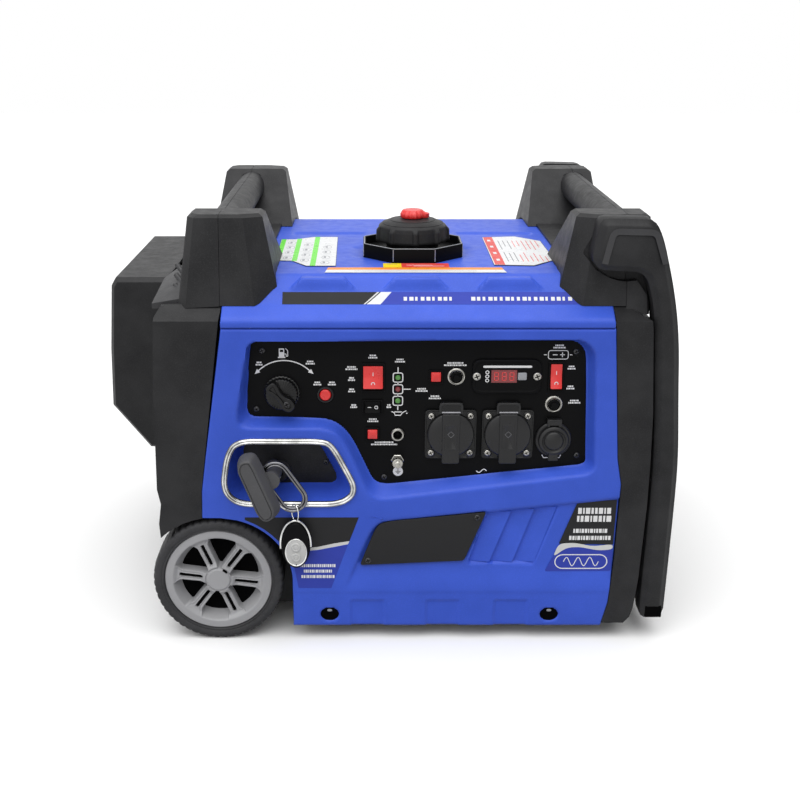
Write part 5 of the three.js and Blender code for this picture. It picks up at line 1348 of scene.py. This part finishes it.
# ---- Recoil starter and key
class GENERATOR_OT_starter(bpy.types.Operator):
    """Recoil starter: bright ring, back plate, rope guide, grip on its stem, and the rope"""
    bl_idname = "generator.starter"
    bl_label = "Recoil starter"

    def execute(self, context):
        look = context.scene.generator_starter
        path = resampled(RING, 2.2)
        r = look.ring
        half = [(0.12, 0.8), (0.4, 1), (0.72, 0.86), (1, 0.5), (1, -0.4)]
        section = [(-a, b) for a, b in half[::-1]] + [(0, 0.5)] + half
        tube("recess_ring", on_face(path, -FACE - 1.0), [(a * r, -b * r) for a, b in section], "chrome",
             closed=True, stands_for=["recess_trim"], crease=80)
        # Three thin dark lines along the chrome ring: painted reflections of dark surroundings.
        for i, offset in enumerate((-0.98 * r, 0.0, 1.02 * r)):
            line = path + outwards(path) * offset
            tube(f"ring_painted_reflection_{i + 1}", on_face(line, -FACE - 1.0 - 0.5 * r), 0.34 if i != 1 else 0.3, "dark_chrome",
                 closed=True)
        plate("recess_plate", FLOOR + outwards(FLOOR) * 0.9, RECESS_PLATE + 3, RECESS_PLATE, "black", edge=0.8,
              stands_for=["recoil_plate"])
        screw("recess_screw", -88, RECESS_PLATE, 181, 3.0, "iron")
        x, z = ROPE[0], ROPE[2]
        boss("rope_guide", RECESS_PLATE, [(3.4, 1), (12.5, 1), (12.5, -1), (11.4, -2.2), (9.8, -2.6), (9.4, -7),
             (8.4, -8.2), (4.6, -8.6), (3.4, -7), (3.4, 1)], x, z, "black", count=48)
        self.grip(x - 4.5, z + 9)
        self.rope(x, z)
        return {"FINISHED"}

    def grip(self, x, z):
        """A bar that narrows from its back to its flat face, with a sunk line, on a waisted stem."""
        front, back = GRIP[0, 1], GRIP[0, 1] + 16
        corners = [(-171.5, 198), (-167, 209.5), (-154, 211.5), (-149, 203), (-130.5, 157), (-131, 149), (-138, 142),
                   (-146.5, 142), (-153, 150)]
        line = resampled(rounded(corners, [6, 8, 8, 6, 5, 5, 4, 5, 5]), 1.6)
        way = outwards(line)
        levels = [(back, 2.4), (back - 1.4, 0.6), (back - 3, 0), (back - 5, 0.2), (front + 1.6, 2.9),
                  (front + 0.5, 3.5), (front, 4.2), (front, 4.9), (front + 0.9, 5.2), (front + 0.9, 5.7), (front, 6.0)]
        stack = []
        for y, inset in levels:
            shift = -2.2 * (back - y) / 16
            stack.append(stood("y", line - way * inset + [shift, 0.6 * shift], y))
        lofted("grip_bar", stack, "grip", "recoil", stands_for=["recoil_grip"], crease=42)
        end = box_of("recoil_grip")[1, 1]
        profile = [(0, back - 2), (8.6, back - 2), (8.2, back + 5), (7.6, back + 12), (7.8, end - 20), (9.0, end - 16),
                   (9.2, end - 13.5), (8.4, end - 12.6), (8.4, end - 11), (9.2, end - 10), (9.0, end - 7), (7.0, end),
                   (0, end)]
        boss("grip_stem", 0, profile, x, z, "grip", "recoil", count=48, crease=50)

    def rope(self, x, z):
        """A braided rope: a round bar whose radius swells with two crossing spirals."""
        low, high = box_of("recoil_rope")[:, 1]
        levels = np.linspace(low, high, 240)

        def braid(angle, radius, along):
            return np.where(radius > 1, 0.12 * (np.cos(angle * 4 + along * 1.1) + np.cos(angle * 4 - along * 1.1)), 0)

        profile = [(0, low)] + [(2.2, y) for y in levels] + [(0, high)]
        boss("starter_rope", 0, profile, x, z, "rope", "recoil", count=24, ripple=braid, stands_for=["recoil_rope"],
             crease=70)


class GENERATOR_OT_key(bpy.types.Operator):
    """Remote key: a doubled wire loop, a small split ring, and an oval fob in a wire frame"""
    bl_idname = "generator.key"
    bl_label = "Remote key"

    def execute(self, context):
        y = LOOP.mean(axis=0)[1]
        top, foot = np.array([-135.5, 183.5]), np.array([-119.5, 160.0])
        path = resampled(bar_outline(top, foot, 13.6, 16), 1.5)
        tube("key_wire", on_face(path, y), 1.5, "dark_chrome", "loop", closed=True, stands_for=["key_loop"])
        inner = resampled(bar_outline(top, foot, 10.8, 16), 1.5)
        tube("key_wire_second", on_face(inner, y + 0.3), 1.3, "dark_chrome", "loop", closed=True)
        hook = rounded_open([(-139, 162), (-131, 152.4), (-126.5, 149.6)], 3)
        tube("key_catch", on_face(hook, y - 2.4), 0.8, "chrome", "loop")
        self.fob(y)
        return {"FINISHED"}

    def fob(self, y):
        x = FOB.mean(axis=0)[0] + 2.2
        bottom = FOB[0, 2]
        middle = bottom + 26.5
        turn = np.linspace(0, 2 * math.pi, 48, endpoint=False)
        ring = np.stack([x - 3.6 * np.sin(turn), y + 4.8 * np.sin(turn), middle + 34.0 + 8.5 * np.cos(turn)], axis=1)
        tube("split_ring", ring, 0.6, "chrome", "fob", closed=True, across=(1, 0, 0), stands_for=["remote_fob"])
        plate("fob_back", oval(x, middle, 14.6, 25.6, 64), y + 4, y - 1.6, "panel", "fob", edge=1.8, steps=5)
        plate("fob_front", oval(x, middle, 13.4, 24.2, 64), y - 1, y - 4, "panel", "fob", edge=2.4, steps=5)
        wire = np.radians(np.linspace(-4, 188, 50))
        path = np.stack([x + 14.9 * np.cos(wire), middle + 25.9 * np.sin(wire)], axis=1)
        tube("fob_wire", on_face(path, y - 1.4), 1.15, "chrome", "fob")
        rim = resampled(oval(x + 0.4, middle - 7.0, 10.2, 14.2, 56), 1.2)
        tube("fob_rim", on_face(rim, y - 4.2), 0.8, "chrome", "fob", closed=True)
        plate("fob_face", oval(x + 0.4, middle - 7.0, 9.8, 13.8, 56), y - 3.6, y - 4.7, "fob_shell", "fob", edge=0.6)
        for i, z in enumerate((middle - 1.2, middle - 12.2)):
            plate(f"fob_key_{i + 1}", oval(x + 0.4, z, 4.7, 4.9, 36), y - 4.4, y - 5.9, "fob_shell", "fob", edge=0.9,
                  steps=4, rings=[(y - 5.9, 1.7), (y - 5.5, 2.1), (y - 5.5, 2.5), (y - 5.9, 2.9)])
        ink_spot("fob_lamp", x + 0.4, middle - 20.4, 0.8, y - 4.7, "void", "fob")


# ---- Filler
class GENERATOR_OT_filler(bpy.types.Operator):
    """Filler: octagonal collar, a fluted cap turned about Z, and its red vent knob"""
    bl_idname = "generator.filler"
    bl_label = "Filler"

    def execute(self, context):
        centre = (FILLER[0], FILLER[1], 0)
        reach = np.ptp(box_of("filler_collar")[:, 0]) / 2
        turn = np.radians(22.5 + 45 * np.arange(8))
        corners = np.stack([np.cos(turn), np.sin(turn)], axis=1) * reach / math.cos(math.radians(22.5)) + FILLER[:2]
        plate("collar_tub", outline_of(corners, 1.6), TOP - 2, COLLAR_TOP, "panel", axis="z", edge=0.8, crease=25,
              rings=[(COLLAR_TOP, 1.6), (COLLAR_TOP - 0.5, 2.4), (COLLAR_TOP - 8, 3.2)], stands_for=["filler_collar"])
        # Thin grey lines along the collar's top edge and its eight corners: painted highlights.
        edge = resampled(outline_of(corners, 1.6)(1.2), 2)
        tube("collar_rim_highlight", stood("z", edge, COLLAR_TOP - 0.1), 0.55, "grey_key", closed=True, across=(0, 0, 1))
        for i, (x, y) in enumerate(outline_of(corners, 1.6)(0.1).reshape(8, -1, 2)[:, 3]):
            tube(f"collar_corner_highlight_{i + 1}", [(x, y, TOP - 0.5), (x, y, COLLAR_TOP - 0.6)], 0.5, "grey_key")
        foot, crest = CAP[0, 2], CAP[1, 2]

        def crown(t):
            """Height of the cap's dome, from its edge at 0 to its middle at 1."""
            return foot + 12 + (crest - foot - 12.4) * (1 - (1 - t) ** 2.1)

        def flute(angle, radius, along):
            """Nine wide shallow flutes between narrow ribs, running out under the dome."""
            deep = 1 - smooth_step(np.cos(angle * 9 + 1.1), 0.62, 0.97)
            low = 1 - smooth_step(along, foot + 12.5, foot + 16)
            return -2.5 * deep * low * smooth_step(radius, 30, 36)

        levels = [(27.8, foot), (38.0, foot), (38.8, foot + 0.8)]
        levels += [(38.8 - 0.06 * k, foot + k) for k in np.linspace(3, 12, 10)]
        rise = np.linspace(0, 1, 16)[1:]
        levels += [(38 - 27 * t ** 1.25, crown(t)) for t in rise]
        levels += [(10.6, crest - 0.4), (0, crest - 0.4)]
        profile = [(0, foot + 5), (27.8, foot + 5)] + levels
        turned("fuel_cap_turned", profile, centre, "z", "black", "filler_cap", count=360, ripple=flute,
               stands_for=["fuel_cap"], crease=50)
        for i, r in enumerate((23, 31)):
            z = crown(((38 - r) / 27) ** 0.8)
            ridge = [(r + a, z + b) for a, b in ((-0.5, -0.6), (0.5, -0.8), (0.4, 0.25), (-0.4, 0.35), (-0.5, -0.6))]
            turned(f"cap_ring_{i + 1}", ridge, centre, "z", "black", "filler_cap", count=90)
        base = KNOB[0, 2]

        def lobe(angle, radius, along):
            """One lever lobe along +X and shallow finger flutes round the knob."""
            turn = np.abs((angle + math.pi) % (2 * math.pi) - math.pi)
            lever = 4.6 * (1 - smooth_step(turn, 0.22, 0.5)) * (1 - smooth_step(along, base + 4.5, base + 6))
            return (lever + 0.35 * np.cos(angle * 14)) * smooth_step(radius, 6, 10)

        turned("vent_knob_turned", [(0, base), (11.8, base), (12.4, base + 0.8), (12.4, base + 4.4), (11.6, base + 5.4),
               (10.9, base + 6.8), (10.4, base + 7.5), (9.6, base + 8), (4, base + 7.6), (0, base + 7.6)],
               centre, "z", "red", "vent", count=168, ripple=lobe, stands_for=["vent_knob"], crease=50)
        # A near-black disc under the knob's rim: painted shade beneath the knob.
        turned("vent_collar", [(0, base - 1), (9.5, base - 1), (9.5, base + 0.4), (0, base + 0.4)], centre, "z", "void",
               "filler_cap", count=40)
        return {"FINISHED"}


# ---- Labels
def film(name, outline, finish, y=-FACE, lift=0.0):
    """A thin film on the front face."""
    stamp(name, np.array(outline), y, finish, back=0.1, lift=lift)


class GENERATOR_OT_labels(bpy.types.Operator):
    """Plain labels: bare name plate, bands with a silver sweep, and tables of blank lines on top"""
    bl_idname = "generator.labels"
    bl_label = "Labels"

    def execute(self, context):
        plate("name_plate_cover", NAME_PLATE, -FACE + 3.2, -FACE + 0.4, "label_black", edge=0.8,
              stands_for=["name_plate"])
        screw("name_plate_screw_1", -46, -FACE + 0.5, 88.5, 3.0, "iron")
        screw("name_plate_screw_2", 62, -FACE + 0.5, 135.5, 3.0, "iron")
        self.right_label()
        self.left_label()
        self.cover_band()
        self.cover_tables()
        return {"FINISHED"}

    def right_label(self):
        y = -FACE + 2.6
        top = rounded([(161, 151.5), (199.5, 153.5), (198.6, 105), (144.4, 106)], 1)
        film("right_label_black", top, "label_black", y)
        sweep = [(144.4, 106), (160, 107), (178, 103), (198.6, 105.4), (198.5, 99.5), (184, 98.5), (165, 102.5),
                 (152, 101.5), (139, 91)]
        film("right_label_sweep", rounded(sweep, 6), "silver", y, 0.05)
        foot = [(139, 91), (153, 101.6), (166, 102.4), (184, 98.4), (198.5, 99.4), (198, 76), (131.5, 75.5)]
        film("right_label_blue", rounded(foot, 2), "label_blue", y)
        sign("right_label_mark_1", 178.6, 137.4, 35, y - INK, height=6.4, rows=(0.96, 1.0), spread=1.33)
        sign("right_label_mark_2", 175.4, 116.2, 42, y - INK, height=4.4, rows=(0.82, 1.0), spread=1.75)
        path = resampled(bar_outline((149, 86.3), (186, 86.3), 7.6, 10), 1.5)
        ink_line("right_label_loop", path, 1.0, y - INK, closed=True)
        t = np.linspace(0, 1, 60)
        wave = np.stack([150 + 35 * t, 86.3 + 4.6 * np.sin(t * 6 * math.pi)], axis=1)
        ink_line("right_label_wave", wave, 0.8, y - INK)

    def left_label(self):
        a = np.radians(np.array([68, 60, 52, 45, 40]))
        arch = np.stack([WHEEL_MIDDLE[0] + 78 * np.cos(a), WHEEL_MIDDLE[2] + 72.6 * np.sin(a)], axis=1)
        foot = [(-128, 103), (-112, 101.8), (-96, 103.6), (-80, 107.4), (-64.4, 110)]
        black = [(-167.7, 135.7)] + arch[:4].tolist() + foot + [(-55, 135.7)]
        film("left_label_black", black, "label_black")
        silver = foot + [(-66, 106.6), (-80, 103.6), (-96, 100.4), (-112, 98.8), (-133, 104.5)]
        film("left_label_sweep", silver, "silver", lift=0.05)
        low = np.radians(np.array([33, 24, 14, 5]))
        edge = np.stack([WHEEL_MIDDLE[0] + 79 * np.cos(low), WHEEL_MIDDLE[2] + 73.6 * np.sin(low)], axis=1)
        blue = [(-66, 106), (-80, 103), (-96, 100), (-112, 98.4)] + edge.tolist() + [(-116, 58), (-83, 58)]
        film("left_label_blue", blue, "label_blue")
        sign("left_label_mark", -96, 77, 36, -FACE - INK, height=3.2, rows=(1.0, 0.8, 0.94), spread=1.9)

    def cover_band(self):
        """Black, white and blue films across the cover's slope, with slanting ends."""
        low, high = 27.8, 41.2
        parts = [("band_black", (-127, -50, -37, -127), "label_black"),
                 ("band_sweep_dark", (-50, -48.4, -35, -37), "silver"),
                 ("band_sweep_thin", (-48.4, -47, -33.4, -35), "label_black"),
                 ("band_sweep", (-47, -34, -23.5, -33.4), "white"),
                 ("band_blue", (-34, 165, 165, -23.5), "label_blue")]
        for name, (a, b, c, d), finish in parts:
            cover_patch(name, [(a, low), (b, low), (c, high), (d, high)], finish, 0.25)
        for i, x in enumerate([*np.arange(-12, 34, 5.4), *np.arange(52, 146, 5.4)]):
            width = 3.2 + 0.9 * math.sin(2.2 * i)
            mark = [(x, low + 4), (x + width, low + 4), (x + width, low + 8), (x, low + 8)]
            cover_patch(f"band_mark_{i + 1}", mark, "white", 0.5)

    def cover_tables(self):
        """Flat labels on top: white sheets with coloured bands and thin blank lines."""
        z = TOP

        def sheet(name, outline, finish, lift=0.0):
            plate(name, np.array(outline, float), z - 0.2, z + 0.16 + lift, finish, edge=0.05, steps=1, axis="z")

        left = [(-141, 0), (-126, 0), (-106, 14), (-80, 14), (-78, -138), (-107, -138), (-122, -114), (-139, -112)]
        sheet("left_table_border", np.array(left) * [1.012, 1.015] + [1.3, 0.8], "label_black")
        sheet("left_table", left, "white", 0.05)
        right = [(80, 12), (116, 17), (141, -9), (142, -109), (118, -136), (79, -133)]
        sheet("right_table_border", np.array(right) * [1.012, 1.02] + [-1.2, 0.8], "label_black")
        sheet("right_table", right, "white", 0.05)
        bands = ((-139.4, -134.4, -112, 0), (-122.6, -117.4, -115, 3), (-103.4, -98, -138, 14))
        for i, (x0, x1, y0, y1) in enumerate(bands):
            sheet(f"left_table_band_{i + 1}", [(x0, y0), (x1, y0 - 0.4), (x1 - 1.2, y1), (x0 - 1.2, y1)], "green", 0.12)
        for column, (middle, low) in enumerate(((-128, -100), (-110, -112), (-89, -124))):
            for i in range(4):
                y = low + 26.5 * i
                cell = f"{column + 1}_{i + 1}"
                self.ring("left_table_sketch_" + cell, oval(middle, y, 4.2, 7.5, 20), 0.5)
                sheet("left_table_line_" + cell, rectangle(middle + 1, y + 12.2, 9, 0.6), "grey_key", 0.12)
                sheet("left_table_note_" + cell, rectangle(middle - 1, y + 1, 2.4, 9), "grey_key", 0.1)
        sheet("right_table_band", [(80, -132.5), (90, -133.4), (90.6, 13.2), (80.6, 11.8)], "label_red", 0.12)
        for i in range(4):
            sheet(f"right_table_spot_{i + 1}", rectangle(85.2, -110 + 34 * i, 3.4, 9), "white", 0.2)
        for i in range(9):
            x = 95 + 5.0 * i
            finish = "pencil" if i < 3 else "label_red"
            for part, (y0, y1) in enumerate(((-118, -70), (-60, -8))):
                shorter = (0, 5, 2, 14, 3, 20, 6, 16, 22)[(i + 4 * part) % 9]
                sheet(f"right_table_line_{i + 1}_{part + 1}",
                      rectangle(x, (y0 + y1 - shorter * (1 - 2 * part)) / 2, 0.8, y1 - y0 - shorter), finish, 0.12)
        sheet("strip_orange", [(-86, -157), (86, -157), (85, -146.5), (-85, -146.5)], "orange", 0.05)
        sheet("strip_white", [(-87.5, -168.5), (87.5, -168.5), (86, -157), (-86, -157)], "white", 0.05)
        sheet("strip_note", rectangle(0, -162.6, 118, 0.8), "pencil", 0.12)
        sheet("strip_yellow", [(-31, -145.5), (-13, -145.5), (-13, -127), (-31, -127)], "yellow", 0.05)
        sheet("strip_red", [(-13, -145.5), (34, -145.5), (34, -127), (-13, -127)], "label_red", 0.05)
        for i, (x, width) in enumerate(((-22, 10), (5, 26), (14, 30))):
            sheet(f"strip_mark_{i + 1}", rectangle(x, -132 - 4 * i, width, 0.9), "pencil" if i == 0 else "white", 0.15)

    def ring(self, name, outline, width):
        """A thin flat line round an outline on top of the cover."""
        path = stood("z", outline, TOP + 0.2)
        tube(name, path, rectangle(0, 0, width, 0.2), "grey_key", closed=True, across=(0, 0, 1))


# ---- Inner parts and stage
INNER_NODES = {
    "black": ("fuel_tank", "air_filter", "battery", "recoil_reel"),
    "zinc": ("trolley_pivot_rod", "axle", "crank_rotor", "muffler"),
    "copper": ("alternator_stator",), "alloy": ("engine_block", "carburettor", "inverter_unit"),
    "iron": ("engine_cradle", "recoil_housing"),
}


class GENERATOR_OT_inner_parts(bpy.types.Operator):
    """Gives every CAD node that stays its own finish"""
    bl_idname = "generator.inner_parts"
    bl_label = "Inner parts"

    def execute(self, context):
        for finish, nodes in INNER_NODES.items():
            for node in nodes:
                coated(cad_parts[node], finish)
        return {"FINISHED"}


class GENERATOR_OT_finishes(bpy.types.Operator):
    """Makes the materials that every piece uses"""
    bl_idname = "generator.finishes"
    bl_label = "Finishes"

    def execute(self, context):
        scene = context.scene
        shell, wheel, control = scene.generator_shell, scene.generator_wheel, scene.generator_control
        moulded("shell", shell.shell, 0.42, shell.grain, 0.035, 0.05, 0.12, shine=0.25)
        moulded("black", shell.black, 0.46, shell.grain, 0.09, 0.10, 0.5, shine=0.18)
        # A lighter copy of the black, 2.2 times as pale: painted highlight on the shoulder fillets, their ribs and the
        # pad frames, which catch the light.
        moulded("handle", np.array(shell.black) * 2.2, 0.44, shell.grain, 0.09, 0.10, 0.3, shine=0.36)
        moulded("panel", control.plate, 0.36, 0.5, 0.012, 0.10, shine=0.05)
        moulded("knob", control.plate, 0.24, 0.6, 0.01, 0.10, shine=0.25)
        moulded("socket", np.array(control.plate) * 2.2, 0.32, 0.8, 0.015, 0.12, shine=0.3)
        moulded("red", control.red, 0.3, 0.8, 0.008, 0.05, shine=0.6)
        moulded("rim", wheel.rim, 0.5, 0.8, 0.03, 0.05)
        moulded("tyre", wheel.rubber, 0.7, 1.2, 0.10, 0.15, 0.4, shine=0.35)
        moulded("grip", scene.generator_starter.grip, 0.6, 0.7, 0.05, 0.10, 0.2, shine=0.4)
        moulded("iron", (0.03, 0.03, 0.032), 0.3, 1.2, 0.01, 0.1, metal=0.5, shine=0.6)
        moulded("rope", (0.62, 0.60, 0.52), 0.9, 0.6, 0.08, 0.15)
        # Near black with almost no shine: painted shade in holes, slots, recesses and gaps, and the colour of the fob's
        # small dark lamp.
        moulded("void", (0.002, 0.002, 0.0022), 0.8, 1.0, 0.02, 0.1, shine=0.02)
        moulded("grey_key", (0.30, 0.31, 0.33), 0.4, 0.8, 0.01, 0.05)
        moulded("fob_shell", (0.50, 0.50, 0.49), 0.35, 0.8, 0.01, 0.06)
        # Chrome's blotches of 16 mm, darkened to half: painted reflections of dark surroundings.
        metal("chrome", (0.74, 0.74, 0.72), 0.12, dark=0.5, size=16)
        metal("dark_chrome", (0.16, 0.16, 0.17), 0.2)
        metal("zinc", (0.40, 0.39, 0.36), 0.26, 0.01, dark=0.6)
        metal("alloy", (0.48, 0.48, 0.49), 0.45, 0.08)
        metal("copper", (0.45, 0.24, 0.12), 0.35, 0.03)
        glowing("screen", (0.16, 0.006, 0.008), 0.12)
        glowing("figure", (0.50, 0.02, 0.02), 0.35)
        glowing("green_lens", (0.06, 0.22, 0.03), 0.12)
        paper("print", control.ink)
        paper("silver", (0.66, 0.66, 0.65), gloss=0.22)
        paper("white", (0.74, 0.75, 0.76))
        paper("green", (0.16, 0.72, 0.06))
        paper("orange", (0.86, 0.28, 0.03))
        paper("yellow", (0.86, 0.66, 0.02))
        paper("label_red", (0.68, 0.06, 0.05))
        paper("label_blue", (0.040, 0.062, 0.40), gloss=0.4)
        paper("label_black", (0.021, 0.021, 0.022), gloss=0.4)
        paper("pencil", (0.16, 0.16, 0.17))
        return {"FINISHED"}


EYE = (-42, -1278, 614)
FLOOR_REACH = 6.0
FLOOR_SEEN = (0.38, 0.38, 0.39)
LAMP_SPREAD = 70


class GENERATOR_OT_stage(bpy.types.Operator):
    """Camera, floor, plain soft lamps and a white backdrop for rays from the camera"""
    bl_idname = "generator.stage"
    bl_label = "Stage"

    def execute(self, context):
        look = context.scene.generator_stage
        scene = context.scene
        scene.view_settings.view_transform = "Standard"
        lens = bpy.data.cameras.new("camera")
        lens.lens = look.lens
        lens.sensor_width = 36
        lens.shift_x = look.shift
        lens.clip_end = 50
        eye = placed("camera", lens)
        eye.location = (np.array(EYE) + ORIGIN) / 1000
        eye.rotation_euler = (math.pi / 2 - look.pitch, 0, 0)
        scene.camera = eye
        self.floor(look)
        self.sky(look)
        self.lamp("top_lamp", (0.1, -0.4, 2.0), look.top_light)
        self.lamp("front_lamp", (-0.9, -2.3, 1.5), look.front_light)
        self.lamp("side_lamp", (-1.6, -0.7, 1.7), look.side_light)
        return {"FINISHED"}

    def floor(self, look):
        mesh = bpy.data.meshes.new("floor")
        corners = np.array([(-1, -1, 0), (1, -1, 0), (1, 1, 0), (-1, 1, 0)]) * FLOOR_REACH
        fill(mesh, corners, [np.array([[0, 1, 2, 3]])])
        nodes = Nodes("floor")
        base = nodes.blend(nodes.span(nodes.noise(300, 2.0), 0, 1), np.array(look.floor) * 0.99, look.floor)
        seen = nodes.any_ray("Is Camera Ray", "Is Glossy Ray")
        nodes.shade(Base_Color=nodes.blend(seen, FLOOR_SEEN, base), Roughness=0.9, Specular_IOR_Level=0.1)
        mesh.materials.append(nodes.material)
        placed("floor", mesh)

    def sky(self, look):
        """Even light of the set strength, seen as plain white by the camera and in reflections."""
        world = bpy.data.worlds.new("sky")
        bpy.context.scene.world = world
        world.use_nodes = True
        world.node_tree.nodes.clear()
        nodes = Tree(world.node_tree)
        even, white = (nodes.add("ShaderNodeBackground", {"Color": (1, 1, 1, 1), "Strength": power}).outputs[0]
                       for power in (look.sky, 1.0))
        seen = nodes.any_ray("Is Camera Ray", "Is Transmission Ray", "Is Glossy Ray")
        mix = nodes.add("ShaderNodeMixShader", {0: seen, 1: even, 2: white}).outputs[0]
        nodes.add("ShaderNodeOutputWorld", {"Surface": mix})

    def lamp(self, name, place, power):
        """A broad distant lamp shining from a direction."""
        light = bpy.data.lights.new(name, "SUN")
        light.energy = power
        light.angle = math.radians(LAMP_SPREAD)
        made = placed(name, light)
        made.location = place
        x, y, z = place
        made.rotation_euler = (math.atan2(math.hypot(x, y), z), 0, math.atan2(x, -y))


class GENERATOR_PT_looks(bpy.types.Panel):
    """The generator's operators and settings"""
    bl_idname = "GENERATOR_PT_looks"
    bl_label = "Inverter generator"
    bl_space_type = "VIEW_3D"
    bl_region_type = "UI"
    bl_category = "Generator"

    def draw(self, context):
        for name in SETTINGS:
            group = getattr(context.scene, name)
            box = self.layout.box()
            for key in group.__class__.__annotations__:
                box.prop(group, key)
        for operator in OPERATORS:
            self.layout.operator(operator.bl_idname)


SETTINGS = {
    "generator_shell": ShellSettings, "generator_wheel": WheelSettings, "generator_control": ControlSettings,
    "generator_starter": StarterSettings, "generator_stage": StageSettings,
}
OPERATORS = [
    GENERATOR_OT_finishes, GENERATOR_OT_stage, GENERATOR_OT_front_panel, GENERATOR_OT_top_cover,
    GENERATOR_OT_rear_panel, GENERATOR_OT_black_mouldings, GENERATOR_OT_trolley_handle, GENERATOR_OT_wheels,
    GENERATOR_OT_control_plate, GENERATOR_OT_dial_and_buttons, GENERATOR_OT_sockets, GENERATOR_OT_meter,
    GENERATOR_OT_starter, GENERATOR_OT_key, GENERATOR_OT_filler, GENERATOR_OT_labels, GENERATOR_OT_inner_parts,
]


def register():
    for group in (*SETTINGS.values(), *OPERATORS, GENERATOR_PT_looks):
        bpy.utils.register_class(group)
    for name, group in SETTINGS.items():
        setattr(bpy.types.Scene, name, bpy.props.PointerProperty(type=group))


def unregister():
    for name in SETTINGS:
        delattr(bpy.types.Scene, name)
    for group in (GENERATOR_PT_looks, *reversed(OPERATORS), *SETTINGS.values()):
        bpy.utils.unregister_class(group)


def main():
    register()
    for operator in OPERATORS:
        family, name = operator.bl_idname.split(".")
        getattr(getattr(bpy.ops, family), name)()
    bpy.context.view_layer.update()


if __name__ == "__main__":
    main()
